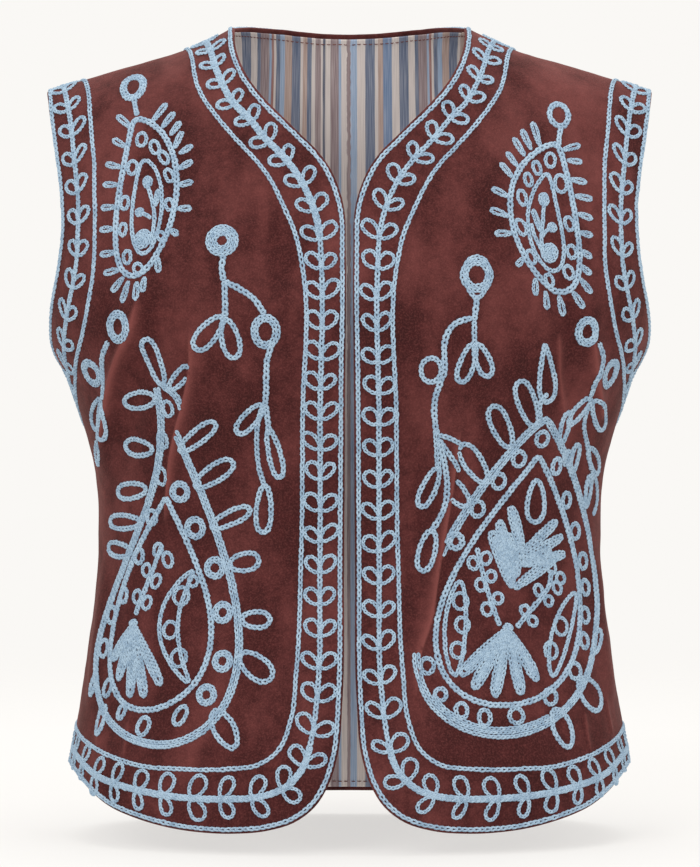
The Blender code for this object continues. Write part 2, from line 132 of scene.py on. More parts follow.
# Sharp folds and darts: places from the top down, the width to the left and right of them, and the height.
Crease = namedtuple("Crease", "places left right height")
creases = {
    "front_right": [
        Crease([(-0.1364, -0.1830), (-0.1441, -0.2068), (-0.1549, -0.2239), (-0.1641, -0.2431),
                (-0.1697, -0.2586), (-0.1823, -0.2828)], 0.0050, 0.0024, 0.0024),
        Crease([(-0.1038, -0.2027), (-0.1045, -0.2314), (-0.1094, -0.2518), (-0.1150, -0.2697),
                (-0.1209, -0.2956), (-0.1227, -0.3152), (-0.1235, -0.3330)], 0.0055, 0.0011, 0.0022),
        Crease([(-0.1500, -0.4560), (-0.1525, -0.4700), (-0.1540, -0.4830)], 0.0022, 0.0030, 0.0011),
        Crease([(-0.1760, -0.4480), (-0.1795, -0.4620), (-0.1810, -0.4770)], 0.0026, 0.0018, 0.0012),
    ],
    "front_left": [
        Crease([(0.0727, -0.2640), (0.0713, -0.2762), (0.0657, -0.3174), (0.0611, -0.3438),
                (0.0571, -0.3669), (0.0531, -0.3917), (0.0458, -0.4131), (0.0425, -0.4439)],
               0.0011, 0.0055, 0.0022),
        Crease([(0.1376, -0.2056), (0.1400, -0.2350), (0.1470, -0.2632)], 0.0042, 0.0026, 0.0016),
        Crease([(0.1602, -0.2053), (0.1680, -0.2330), (0.1811, -0.2632)], 0.0028, 0.0048, 0.0020),
        Crease([(0.1640, -0.4520), (0.1655, -0.4660), (0.1690, -0.4800)], 0.0026, 0.0018, 0.0012),
        Crease([(0.1900, -0.4440), (0.1925, -0.4570), (0.1970, -0.4700)], 0.0030, 0.0022, 0.0011),
    ],
    "back": [
        Crease([(-0.0900, -0.2300), (-0.0870, -0.3000), (-0.0880, -0.3700), (-0.0950, -0.4400)],
               0.0055, 0.0011, 0.0022),
        Crease([(0.0890, -0.2250), (0.0850, -0.3000), (0.0870, -0.3750), (0.0930, -0.4450)],
               0.0011, 0.0055, 0.0022),
        Crease([(-0.1560, -0.1960), (-0.1400, -0.2450), (-0.1230, -0.2950)], 0.0030, 0.0052, 0.0022),
        Crease([(0.1600, -0.1980), (0.1420, -0.2400), (0.1290, -0.2880)], 0.0050, 0.0026, 0.0020),
        Crease([(-0.0700, -0.4560), (-0.0720, -0.4680), (-0.0735, -0.4800)], 0.0024, 0.0030, 0.0011),
    ],
}


def smooth(x, knots, values):
    # a smooth curve through the values at the knots, read at x
    x, knots, values = (np.asarray(each, float) for each in (x, knots, values))
    steps = np.diff(knots)
    slopes = np.diff(values) / steps
    tangents = np.empty_like(values)
    tangents[1:-1] = (slopes[:-1] * steps[1:] + slopes[1:] * steps[:-1]) / (steps[:-1] + steps[1:])
    tangents[0] = slopes[0]
    tangents[-1] = slopes[-1]
    row = np.clip(np.searchsorted(knots, x, side="right") - 1, 0, len(knots) - 2)
    u = (x - knots[row]) / steps[row]
    start = values[row] * (1 + 2 * u) * (1 - u) ** 2
    end = values[row + 1] * u * u * (3 - 2 * u)
    leave = steps[row] * tangents[row] * u * (1 - u) ** 2
    arrive = steps[row] * tangents[row + 1] * u * u * (u - 1)
    return start + leave + end + arrive


class Form:
    # the front or back half of the worn body, which turns cloth coordinates into places in space
    def __init__(self, facing):
        self.facing = facing
        near, far = ("frontDepth", "backDepth") if facing < 0 else ("backDepth", "frontDepth")
        self.heights = np.array([row.height for row in sections])
        self.halfWidths = [row.halfWidth for row in sections]
        self.near = np.array([getattr(row, near) for row in sections])
        self.far = [getattr(row, far) for row in sections]
        self.squareness = [row.squareness for row in sections]
        self.ups = self.heights.copy()
        for i in range(1, len(sections)):
            rise = self.heights[i] - self.heights[i - 1]
            lean = self.near[i] - self.near[i - 1] if self.heights[i] > chestHeight else 0.0
            self.ups[i] = self.ups[i - 1] + np.hypot(rise, lean)
        self.top = self.ups[-1]
        rows, columns = formTable["rows"], formTable["columns"]
        self.stations = np.linspace(self.ups[0], self.top, rows + 1)
        self.angles = np.linspace(0.0, formTable["sweep"] * np.pi, columns + 1)
        up, angle = np.meshgrid(self.stations, self.angles, indexing="ij")
        runs = np.linalg.norm(np.diff(self.atAngle(angle, up), axis=1), axis=2)
        self.arcs = np.concatenate([np.zeros((rows + 1, 1)), np.cumsum(runs, axis=1)], axis=1)
        self.reaches = np.linspace(0.0, formTable["reach"], columns + 1)
        self.table = np.array([np.interp(self.reaches, arc, self.angles) for arc in self.arcs])

    def atAngle(self, angle, up):
        height = smooth(up, self.ups, self.heights)
        halfWidth = smooth(up, self.ups, self.halfWidths)
        power = 2 / smooth(up, self.ups, self.squareness)
        near, far = smooth(up, self.ups, self.near), smooth(up, self.ups, self.far)
        depth = np.where(np.cos(angle) >= 0, near, far)
        x = halfWidth * np.abs(np.sin(angle)) ** power
        y = self.facing * depth * np.sign(np.cos(angle)) * np.abs(np.cos(angle)) ** power
        share = np.clip((height - chestHeight) / -chestHeight, 0, 1)
        share = share * share * (3 - 2 * share)
        return np.stack([x, y, height + share * smooth(x, shoulderOut, shoulderRise)], -1)

    def rows(self, up):
        place = (up - self.stations[0]) / (self.stations[1] - self.stations[0])
        row = np.clip(place, 0, formTable["rows"] - 0.01).astype(int)
        return row, np.clip(place, 0, formTable["rows"]) - row

    def seam(self, up):
        # how far across the side seam runs at this height
        angle = np.radians(seamAngle if self.facing < 0 else 180 - seamAngle)
        column = np.array([np.interp(angle, self.angles, arc) for arc in self.arcs])
        row, part = self.rows(np.asarray(up, float))
        return column[row] * (1 - part) + column[row + 1] * part

    def point(self, across, up):
        across, up = np.asarray(across, float), np.asarray(up, float)
        over = up > self.top  # past the shoulder line the form turns down on the other side
        up = np.where(over, 2 * self.top - up, up)
        row, part = self.rows(up)
        place = np.clip(np.abs(across) / self.reaches[1], 0, formTable["columns"] - 0.01)
        column = place.astype(int)
        inner = place - column
        low = self.table[row, column] * (1 - inner) + self.table[row, column + 1] * inner
        high = self.table[row + 1, column] * (1 - inner) + self.table[row + 1, column + 1] * inner
        place = self.atAngle(low * (1 - part) + high * part, up)
        place[..., 0] *= np.where(across < 0, -1, 1)
        place[..., 1] *= np.where(over, -1, 1)
        return place

    def normal(self, across, up, reach=0.0008):
        sideways = self.point(across + reach, up) - self.point(across - reach, up)
        upwards = self.point(across, up + reach) - self.point(across, up - reach)
        outward = -self.facing * np.cross(sideways, upwards)
        return outward / np.linalg.norm(outward, axis=-1, keepdims=True)


def foldLine(fold, count):
    start, middle, end = (np.array(each) for each in fold[:3])
    pull = 2 * middle - (start + end) / 2
    u = np.linspace(0, 1, count)[:, None]
    return start * (1 - u) ** 2 + 2 * pull * u * (1 - u) + end * u**2


def runLengths(points):
    # how far along a line each of its points is
    return np.concatenate([[0], np.cumsum(np.linalg.norm(np.diff(points, axis=0), axis=1))])


def besideLine(line, distance):
    # the line moved to its left
    heading = np.gradient(line, axis=0)
    heading /= np.linalg.norm(heading, axis=1, keepdims=True)
    return line + distance * np.stack([-heading[:, 1], heading[:, 0]], -1)


def alongLine(places, line):
    # signed distance of each place from a line (positive on its left) and how far along it is nearest
    closest = np.full(len(places), np.inf)
    signed = np.zeros(len(places))
    reached = np.zeros(len(places))
    for i, (a, b) in enumerate(zip(line[:-1], line[1:])):
        ahead = b - a
        share = np.clip((places - a) @ ahead / (ahead @ ahead), 0, 1)
        gap = places - (a + share[:, None] * ahead)
        distance = np.linalg.norm(gap, axis=1)
        better = distance < closest
        turn = ahead[0] * gap[:, 1] - ahead[1] * gap[:, 0]
        closest = np.where(better, distance, closest)
        signed = np.where(better, np.sign(turn) * distance, signed)
        reached = np.where(better, (i + share) / (len(line) - 1), reached)
    return signed, reached


def softNoise(places, size, seed):
    # even random hills about as wide as the size, between -1 and 1
    hills = np.random.default_rng(seed).uniform(-1, 1, (64, 64))
    spot = places / size
    cell = np.floor(spot).astype(int)
    part = spot - cell
    part = part * part * (3 - 2 * part)
    x0, y0 = cell[:, 0] % 64, cell[:, 1] % 64
    x1, y1 = (x0 + 1) % 64, (y0 + 1) % 64
    low = hills[x0, y0] * (1 - part[:, 0]) + hills[x1, y0] * part[:, 0]
    high = hills[x0, y1] * (1 - part[:, 0]) + hills[x1, y1] * part[:, 0]
    return low * (1 - part[:, 1]) + high * part[:, 1]


pile = {
    "puckerSize": 0.017,
    "puckerHeight": 0.00035,
    "grainSize": 0.0065,
    "grainHeight": 0.00012,
    "foldReach": 2.7,  # in widths of the fold
    "creaseReach": 3.6,
    "creaseRows": (-2.2, -1.1, -0.35, 0.35, 1.1, 2.2),  # mesh rows beside a crease, in widths of that side
    "creaseStep": 0.0030,
    "creaseLineStep": 0.0050,
    "foldPoints": 17,
    "nearCrease": 0.002,
    "creaseFromRim": 0.0016,
    "creaseFromGrid": 0.0013,
    "gridFromRim": 0.6,  # in steps of the grid
    "bendLimit": 0.00005,
    "closeCrest": (0.45, 0.0022),  # breadth, and the height that counts as a full painted highlight along the creases
    "wideCrest": (2.4, 0.0042),
}


def besides(places, line, reach):
    # which places are within reach of the box round a line
    return ((places > line.min(0) - reach) & (places < line.max(0) + reach)).all(1)


def clothLift(piece, places):
    # how far folds, creases and puckers raise the cloth at each place
    lift = pile["puckerHeight"] * softNoise(places, pile["puckerSize"], 5)
    lift += pile["grainHeight"] * softNoise(places, pile["grainSize"], 6)
    for fold in folds[piece]:
        line = foldLine(fold, pile["foldPoints"])
        near = besides(places, line, pile["foldReach"] * fold.width)
        if near.any():
            distance, reached = alongLine(places[near], line)
            fade = 1 - (2 * reached - 1) ** 4
            lift[near] += fold.height * fade * np.exp(-((distance / fold.width) ** 2))
    return lift + creaseLift(piece, places, 1.0)


def creaseLift(piece, places, breadth):
    # how far the creases alone raise the cloth, at a share of their widths
    lift = np.zeros(len(places))
    for crease in creases[piece]:
        line = evenly(np.array(crease.places), pile["creaseLineStep"])
        near = besides(places, line, pile["creaseReach"] * max(crease.left, crease.right))
        if near.any():
            distance, reached = alongLine(places[near], line)
            fade = np.clip(1 - (2 * reached - 1) ** 6, 0, 1)
            width = breadth * np.where(distance > 0, crease.left, crease.right)
            lift[near] += crease.height * fade * np.exp(-((np.abs(distance) / width) ** 1.6))
    return lift


def creaseRows(crease, spacing):
    # places in rows to both sides of a crease, so that its crest is drawn sharply
    line = evenly(np.array(crease.places), spacing)
    offsets = [row * (crease.left if row > 0 else crease.right) for row in pile["creaseRows"]]
    return np.concatenate([line] + [besideLine(line, offset) for offset in offsets])


def laidOut(form, piece, places):
    across, up = places[:, 0], places[:, 1]
    out = form.normal(across, up)
    lift = clothLift(piece, places)
    return form.point(across, up) + out * lift[:, None], out, lift


def edgePlaces(form, rows):
    places = []
    for across, up in rows:
        up = form.top if up == "top" else up
        places.append((float(form.seam(up) if across == "seam" else across), float(up)))
    return np.array(places)


def bothSides(places):
    return np.concatenate([places[:0:-1] * mirror, places])


def evenly(places, step):
    # a smooth line through the places, with a point about every step
    lengths = runLengths(places)
    at = np.linspace(0, lengths[-1], int(np.ceil(lengths[-1] / step)) + 1)
    return np.stack([smooth(at, lengths, places[:, axis]) for axis in (0, 1)], -1)


def sideSeam(form, step):
    up = np.linspace(cut["sideHemUp"], cut["underarmUp"], int(cut["sideSeamLength"] / step) + 1)
    return np.stack([form.seam(up), up], -1)


def shoulderSeam(form, step):
    count = int(cut["shoulderSeamLength"] / step) + 1
    across = np.linspace(cut["shoulderTipAcross"], cut["neckPointAcross"], count)
    return np.stack([across, np.full(count, form.top)], -1)


def closedOutline(edges):
    # one outline from edges that meet end to end, and how far each point counts as sewn
    places = np.concatenate([line[:-1] for line, _ in edges])
    sewn = np.concatenate([[0.0] + [float(onSeam)] * (len(line) - 2) for line, onSeam in edges])
    return places, sewn


def frontOutline(form, step):
    return closedOutline([
        (evenly(edgePlaces(form, frontEdge), step)[::-1], False),
        (sideSeam(form, step), True),
        (evenly(edgePlaces(form, frontArmhole), step)[::-1], False),
        (shoulderSeam(form, step), True),
    ])


def backOutline(form, step):
    side, shoulder = sideSeam(form, step), shoulderSeam(form, step)
    armhole = evenly(edgePlaces(form, backArmhole), step)[::-1]
    hem = evenly(bothSides(edgePlaces(form, backHem)[::-1]), step)
    neck = evenly(bothSides(edgePlaces(form, backNeck)), step)
    return closedOutline([
        (hem, False), (side, True), (armhole, False), (shoulder, True), (neck[::-1], False),
        ((shoulder * mirror)[::-1], True), ((armhole * mirror)[::-1], False), ((side * mirror)[::-1], True),
    ])


def mirrored(outline):
    places, sewn = outline
    return (places * mirror)[::-1], sewn[::-1]


# how the rim is drawn in at sharp corners: the bend that counts as one, and the shares that fit there
corners = {"sharp": 0.85, "beside": 0.6, "room": 0.45}


def inset(places, distance):
    # the closed line drawn in by a distance, but no further than fits beside and in its corners
    ahead = np.roll(places, -1, axis=0) - places
    room = np.linalg.norm(ahead, axis=1, keepdims=True)
    ahead /= room
    corner = (ahead * np.roll(ahead, 1, axis=0)).sum(1, keepdims=True) < corners["sharp"]
    beside = np.roll(corner, 1, axis=0) | np.roll(corner, -1, axis=0)
    distance = np.reshape(distance, (-1, 1)) * np.where(beside, corners["beside"], 1.0)
    inward = np.stack([-ahead[:, 1], ahead[:, 0]], -1)
    both = inward + np.roll(inward, 1, axis=0)
    shift = distance * 2 * both / (both * both).sum(1, keepdims=True)
    slide = np.sqrt(np.clip((shift * shift).sum(1, keepdims=True) - distance**2, 1e-16, None))
    room = corners["room"] * np.minimum(room, np.roll(room, 1, axis=0))
    return places + shift * np.minimum(1, room / slide)


def clearance(places, outline):
    # distance of each place inside a closed line, negative outside it
    inside = np.zeros(len(places), bool)
    closest = np.full(len(places), np.inf)
    for a, b in zip(outline, np.roll(outline, -1, axis=0)):
        share = np.clip((places - a) @ (b - a) / ((b - a) @ (b - a)), 0, 1)
        closest = np.minimum(closest, np.linalg.norm(places - (a + share[:, None] * (b - a)), axis=1))
        if a[1] != b[1]:
            crosses = (places[:, 1] < a[1]) != (places[:, 1] < b[1])
            edge = a[0] + (places[:, 1] - a[1]) * (b[0] - a[0]) / (b[1] - a[1])
            inside ^= crosses & (places[:, 0] < edge)
    return np.where(inside, closest, -closest)


def meshObject(name, points, faces, material, uv=None, crest=None):
    mesh = bpy.data.meshes.new(name)
    mesh.from_pydata(points.tolist(), [], faces.tolist())
    mesh.polygons.foreach_set("use_smooth", np.ones(len(mesh.polygons), bool))
    if uv is not None:
        corners = np.empty(len(mesh.loops), np.int32)
        mesh.loops.foreach_get("vertex_index", corners)
        layer = mesh.uv_layers.new(name="cloth")
        layer.data.foreach_set("uv", uv[corners].astype(np.float32).ravel())
    if crest is not None:
        mesh.attributes.new("crest", "FLOAT", "POINT").data.foreach_set("value", crest.astype(np.float32))
    mesh.materials.append(material)
    mesh.update()
    thing = bpy.data.objects.new(name, mesh)
    bpy.context.scene.collection.objects.link(thing)
    return thing


def clothGrid(piece, outline, step):
    # a triangular grid over an outline, with a point between each two where the cloth bends
    low, high = outline.min(0), outline.max(0)
    grid, kept = [], []
    for i, up in enumerate(np.arange(low[1], high[1], step * np.sqrt(3) / 4)):
        across = np.arange(low[0] + step / 4 * (i % 2), high[0], step / 2)
        grid.append(np.stack([across, np.full(len(across), up)], -1))
        kept.append((np.arange(len(across)) % 2 == i // 2 % 2) & (i % 2 == 0))
    grid, kept = np.concatenate(grid), np.concatenate(kept)
    lift = clothLift(piece, grid)
    bend = np.zeros(len(grid))
    for way in ((step / 2, 0.0), (0.0, step / 2)):
        ahead, behind = clothLift(piece, grid + way), clothLift(piece, grid - way)
        bend = np.maximum(bend, np.abs(ahead + behind - 2 * lift))
    return grid[kept | (bend > pile["bendLimit"])]


def clothSheet(name, form, piece, outline, sewn, shape, material, inwards):
    # A sheet of cloth over a panel. Its rim follows rows of distance in and depth, given for an open edge
    # and for a seam, and ends at the row where the plain field begins.
    blend = np.convolve(np.concatenate([sewn[-2:], sewn, sewn[:2]]), np.ones(5) / 5, "valid")[:, None]
    rows = np.array(shape["openRim"]) * (1 - blend[:, None]) + np.array(shape["sewnRim"]) * blend[:, None]
    rings = [inset(outline, rows[:, i, 0]) for i in range(rows.shape[1])]
    depths = [rows[:, i, 1] for i in range(rows.shape[1])]
    last = rings[-1]
    grid = clothGrid(piece, outline, shape["gridStep"])
    grid = grid[clearance(grid, last) > pile["gridFromRim"] * shape["gridStep"]]
    for crease in creases[piece] if shape["creased"] else []:
        rows = creaseRows(crease, pile["creaseStep"])
        rows = rows[clearance(rows, last) > pile["creaseFromRim"]]
        near = besides(grid, rows, pile["nearCrease"])
        gaps = np.linalg.norm(grid[near][:, None] - rows[None], axis=2).min(1)
        grid = np.concatenate([grid[~near], grid[near][gaps > pile["creaseFromGrid"]], rows])
    count = len(outline)
    loose = [Vector(place) for place in np.concatenate([last, grid])]
    found = geometry.delaunay_2d_cdt(loose, [], [list(range(count))], 1, 1e-7)
    source = [origins[0] for origins in found[3]]
    base = count * (len(rings) - 1)
    faces = []
    for triangle in found[2]:
        a, b, c = (source[corner] for corner in triangle)
        turn = (loose[b] - loose[a]).cross(loose[c] - loose[a])
        faces.append((base + a, base + b, base + c) if turn > 0 else (base + a, base + c, base + b))
    for ring in range(len(rings) - 1):
        for i in range(count):
            j = (i + 1) % count
            a, b = ring * count + i, ring * count + j
            faces += [(a, b, b + count), (a, b + count, a + count)]
    faces = np.array(faces)
    if (form.facing > 0) != inwards:
        faces = faces[:, ::-1]
    places = np.concatenate(rings + [grid])
    depth = np.concatenate(depths + [np.full(len(grid), depths[-1][0])])
    points, out, _ = laidOut(form, piece, places)
    # crest: how much painted highlight each point gets along the crease crests, at a close and a wide breadth
    crestHighlights = (pile["closeCrest"], pile["wideCrest"])
    crest = sum(creaseLift(piece, places, breadth) / full for breadth, full in crestHighlights)
    return meshObject(name, points - out * depth[:, None], faces, material, places, crest)


print("form and folds ready")


# Shader sums: a socket that takes part in expressions, and the material that holds its nodes.
def sumOf(operation, reflected=False):
    def joined(self, other):
        first, second = (other, self) if reflected else (self, other)
        return self.finish.node("ShaderNodeMath", {"operation": operation}, {0: first, 1: second})[0]
    return joined


class Wire:
    def __init__(self, finish, socket):
        self.finish = finish
        self.socket = socket

    __add__, __radd__ = sumOf("ADD"), sumOf("ADD", True)
    __sub__, __rsub__ = sumOf("SUBTRACT"), sumOf("SUBTRACT", True)
    __mul__, __rmul__ = sumOf("MULTIPLY"), sumOf("MULTIPLY", True)
    __truediv__, __mod__ = sumOf("DIVIDE"), sumOf("FLOORED_MODULO")

    def wave(self):
        return self.finish.node("ShaderNodeMath", {"operation": "SINE"}, {0: self})[0]


class Outputs:
    def __init__(self, finish, made):
        self.finish = finish
        self.made = made

    def __getitem__(self, which):
        return Wire(self.finish, self.made.outputs[which])


class Finish:
    # One material, whose nodes are added by name with their settings and then their inputs.
    def __init__(self, name):
        self.material = bpy.data.materials.new(name)
        self.material.use_nodes = True
        self.tree = self.material.node_tree
        self.shader = self.tree.nodes["Principled BSDF"]

    def node(self, kind, settings=None, inputs=None):
        made = self.tree.nodes.new(kind)
        for name, value in (settings or {}).items():
            if name == "stops":
                self.setStops(made.color_ramp, value)
            else:
                setattr(made, name, value)
        for name, value in (inputs or {}).items():
            self.feed(made.inputs[name], value)
        return Outputs(self, made)

    def feed(self, socket, value):
        if isinstance(value, Wire):
            self.tree.links.new(value.socket, socket)
        else:
            socket.default_value = value

    def setStops(self, ramp, stops):
        while len(ramp.elements) < len(stops):
            ramp.elements.new(1.0)
        for element, (place, colour) in zip(ramp.elements, stops):
            element.position = place
        for element, (place, colour) in zip(ramp.elements, stops):
            element.color = colour

    def place(self):
        return self.node("ShaderNodeTexCoord")["Object"]

    def clothPlace(self):
        # across and along the cloth that a piece was cut from
        spot = self.node("ShaderNodeUVMap", {"uv_map": "cloth"})["UV"]
        return [self.node("ShaderNodeSeparateXYZ", None, {0: spot})[axis] for axis in ("X", "Y")]

    def crest(self):
        return self.node("ShaderNodeAttribute", {"attribute_name": "crest"})["Fac"]

    def shine(self, level):
        self.shader.inputs["Specular IOR Level"].default_value = level

    def mix(self, share, first, second):
        return self.node("ShaderNodeMix", {"data_type": "RGBA"}, {0: share, 6: first, 7: second})[2]

    def noise(self, place, scale, detail=2.0, roughness=0.5):
        settings = {"noise_dimensions": "3D"}
        inputs = {"Vector": place, "Scale": scale, "Detail": detail, "Roughness": roughness}
        return self.node("ShaderNodeTexNoise", settings, inputs)["Fac"]

    def ramp(self, value, low, high, toLow=0.0, toHigh=1.0):
        inputs = {0: value, 1: low, 2: high, 3: toLow, 4: toHigh}
        return self.node("ShaderNodeMapRange", {"clamp": True}, inputs)[0]

    def bump(self, height, strength, distance):
        inputs = {"Height": height, "Strength": strength, "Distance": distance}
        return self.node("ShaderNodeBump", None, inputs)["Normal"]

    def set(self, **values):
        for name, value in values.items():
            spaced = "".join(" " + letter if letter.isupper() else letter for letter in name).title()
            self.feed(self.shader.inputs[spaced], value)


def colour(red, green, blue):
    # a screen colour, 0 to 255, as the linear colour that shaders use
    parts = [value / 255 for value in (red, green, blue)]
    return tuple([p / 12.92 if p <= 0.04045 else ((p + 0.055) / 1.055) ** 2.4 for p in parts] + [1.0])


velvetFinish = {
    "deep": colour(46, 16, 16),
    "body": colour(68, 25, 25),
    # a lighter pile colour, for rubbed patches and for painted highlights
    "rubbed": colour(118, 64, 60),
    "sheen": 0.19,
    "sheenTint": colour(200, 132, 122),
    "brushed": (1.0, 1.0, 0.45),  # patches are longer up and down
    "patchScale": 30.0,
    "streakScale": 130.0,
    "napScale": 900.0,
    "patchRange": (0.34, 0.66),
    # the worn range and share also carry a painted highlight towards the top
    "wornRange": (0.46, 0.84),
    "crestRange": (0.25, 1.30),
    "wornShare": 0.60,
    "crestShare": 0.75,
    "napShare": 0.34,
}


def makeVelvet():
    cloth, look = Finish("velvet"), velvetFinish
    place = cloth.place()
    brushed = cloth.node("ShaderNodeVectorMath", {"operation": "MULTIPLY"}, {0: place, 1: look["brushed"]})[0]
    patches = cloth.noise(brushed, look["patchScale"], 2.0, 0.50)
    streaks = cloth.noise(place, look["streakScale"], 4.0, 0.65)
    nap = cloth.noise(place, look["napScale"], 2.0, 0.6)
    crest = cloth.crest()
    up = cloth.node("ShaderNodeSeparateXYZ", None, {0: place})["Z"]
    light = cloth.ramp(patches * 0.60 + streaks * 0.40, *look["patchRange"])
    base = cloth.mix(light, look["deep"], look["body"])
    # worn patches, plus a painted highlight that lightens the cloth towards the top
    worn = cloth.ramp(patches * 0.7 + streaks * 0.3 + cloth.ramp(up, -0.26, 0.0) * 0.10, *look["wornRange"])
    base = cloth.mix(worn * look["wornShare"], base, look["rubbed"])
    # painted highlight along the crease crests, in the lighter pile colour
    base = cloth.mix(cloth.ramp(crest, *look["crestRange"]) * look["crestShare"], base, look["rubbed"])
    base = cloth.mix(cloth.ramp(nap, 0.45, 0.75) * look["napShare"], base, look["rubbed"])
    height = nap * 0.5 + streaks * 0.5
    cloth.set(baseColor=base, roughness=cloth.ramp(patches, 0.3, 0.7, 0.92, 0.78))
    cloth.set(sheenWeight=look["sheen"], sheenRoughness=0.45, sheenTint=look["sheenTint"])
    cloth.shine(0.15)
    cloth.set(normal=cloth.bump(height, 0.40, 0.0012))
    return cloth.material


yarn = {
    "slate": colour(98, 116, 144),
    "ink": colour(86, 96, 118),
    "denim": colour(110, 140, 178),
    "sky": colour(156, 182, 212),
    "cream": colour(224, 214, 208),
    "tan": colour(190, 164, 152),
    "mauve": colour(150, 131, 134),
    "brick": colour(162, 110, 100),
}
# The warp from one side of a repeat to the other: yarn and width in millimetres.
warp = [
    ("mauve", 6.4), ("sky", 2.2), ("brick", 1.7), ("cream", 1.8), ("slate", 3.3), ("sky", 3.4),
    ("tan", 5.6), ("slate", 6.3), ("cream", 1.8), ("tan", 3.2), ("slate", 3.2), ("cream", 2.9),
    ("mauve", 3.8), ("cream", 1.5), ("ink", 1.9), ("cream", 3.5), ("mauve", 6.2), ("sky", 1.6),
    ("cream", 4.2), ("mauve", 2.4), ("sky", 4.4), ("cream", 6.0), ("slate", 6.8), ("cream", 2.2),
    ("tan", 3.6), ("denim", 6.7), ("cream", 5.4), ("slate", 6.5), ("cream", 5.4), ("slate", 2.8),
]
liningFinish = {
    "stripeStart": -0.066,
    "drift": 0.0007,  # how far the stripes wander
    "lightSlub": 0.34,
    "darkSlub": 0.22,
    "shade": colour(96, 78, 78),
}


def makeLining():
    cloth = Finish("lining")
    across, along = cloth.clothPlace()

    def yarnNoise(acrossScale, alongScale):
        place = cloth.node("ShaderNodeCombineXYZ", None, {0: across * acrossScale, 1: along * alongScale})[0]
        return cloth.noise(place, 1.0)

    total = sum(width for _, width in warp) / 1000
    drift = yarnNoise(18.0, 9.0)
    stripes = ((across + drift * liningFinish["drift"] - liningFinish["stripeStart"]) % total) / total
    stops, reached = [], 0.0
    for name, width in warp:
        stops.append((reached, yarn[name]))
        reached += width / 1000 / total
    base = cloth.node("ShaderNodeValToRGB", {"stops": stops}, {"Fac": stripes})
    base.made.color_ramp.interpolation = "CONSTANT"
    base = base["Color"]
    slub = yarnNoise(1900.0, 34.0)
    base = cloth.mix(cloth.ramp(slub, 0.38, 0.70) * liningFinish["lightSlub"], base, yarn["cream"])
    base = cloth.mix(cloth.ramp(slub, 0.62, 0.34) * liningFinish["darkSlub"], base, liningFinish["shade"])
    weave = yarnNoise(2600.0, 2600.0)
    cloth.set(baseColor=base, roughness=0.86)
    cloth.shine(0.25)
    cloth.set(normal=cloth.bump(weave * 0.6 + slub * 0.4, 0.25, 0.0006))
    return cloth.material


velvet, lining = makeVelvet(), makeLining()
frontForm, backForm = Form(-1), Form(1)
leftPanel = frontOutline(frontForm, cut["outlineStep"])
panels = [
    ("front_right", frontForm, *mirrored(leftPanel)),
    ("front_left", frontForm, *leftPanel),
    ("back", backForm, *backOutline(backForm, cut["outlineStep"])),
]
velvetShape = {
    "gridStep": 0.0048,
    "creased": True,
    # from under the turned edge, round it and on to the outer face
    "openRim": [(0.0038, 0.0025), (0.0026, 0.0027), (0.0012, 0.0025), (0.0003, 0.0019), (0.0000, 0.0012),
                (0.0004, 0.0005), (0.0012, 0.0001), (0.0022, 0.0), (0.0034, 0.0)],
    "sewnRim": [(0.0030, 0.0026), (0.0020, 0.0026), (0.0010, 0.0025), (0.0002, 0.0022), (0.0000, 0.0016),
                (0.0003, 0.0009), (0.0012, 0.0003), (0.0022, 0.0), (0.0034, 0.0)],
}
liningShape = {
    "gridStep": 0.0075,
    "creased": False,
    "openRim": [(0.0028, 0.0024), (0.0029, 0.0027), (0.0034, 0.0030), (0.0040, 0.0030)],
    "sewnRim": [(0.0000, 0.0027), (0.0006, 0.0029), (0.0030, 0.0030), (0.0040, 0.0030)],
}
# The cuts: the flat sheets that the panels are made from, with what their edges take up.
seamAllowance = {"velvet": 0.010, "lining": 0.006}


def declareCut(piece, outline, allowance):
    width, length = outline.max(0) - outline.min(0) + 2 * allowance
    ahead = np.roll(outline, -1, axis=0)
    inside = abs((outline[:, 0] * ahead[:, 1] - outline[:, 1] * ahead[:, 0]).sum()) / 2
    edge = np.linalg.norm(ahead - outline, axis=1).sum()
    area = inside + edge * allowance
    print("cut:", piece.name, round(width, 3), "x", round(length, 3), "area", round(area, 4))


pieces = {}
for name, form, outline, sewn in panels:
    shell = clothSheet("velvet_" + name, form, name, outline, sewn, velvetShape, velvet, False)
    pieces["velvet_" + name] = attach(shell, "root")
    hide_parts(name)
    backing = clothSheet("lining_sheet_" + name, form, name, outline, sewn, liningShape, lining, True)
    pieces["lining_" + name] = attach(backing, "root")
    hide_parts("lining_" + name)
    declareCut(shell, outline, seamAllowance["velvet"])
    declareCut(backing, outline, seamAllowance["lining"])
    print("cloth laid:", name, len(shell.data.polygons), len(backing.data.polygons))

# Chain stitch in millimetres: how often a link comes, how wide it is, and how thick its thread is.
Stitch = namedtuple("Stitch", "pitch width strand")
edgeStitch = Stitch(3.7, 3.2, 1.35)
stemStitch = Stitch(3.5, 4.4, 1.90)
vineStitch = Stitch(3.3, 3.8, 1.65)
loopStitch = Stitch(3.1, 3.3, 1.42)
pairStitch = Stitch(3.2, 3.0, 1.35)
fineStitch = Stitch(2.7, 2.7, 1.20)
tinyStitch = Stitch(2.3, 2.3, 1.00)
pairRows = (0.85, -0.85)  # two rows worked side by side
outlineRows = (1.35, -1.35)
linkShape = {
    "points": 9,
    # across and out, in halves of the strand
    "section": [[-1.0, -0.3], [-0.62, 0.9], [0.62, 0.9], [1.0, -0.3]],
    "tail": 0.24,
    "taper": 0.95,
    "overlap": 0.34,
    "hold": 0.50,
    "holdPlace": 0.22,
    "rest": 0.12,
    # how uneven the hand is
    "waver": 0.11,
    "unevenPitch": 0.05,
    "unevenWidth": 0.06,
}
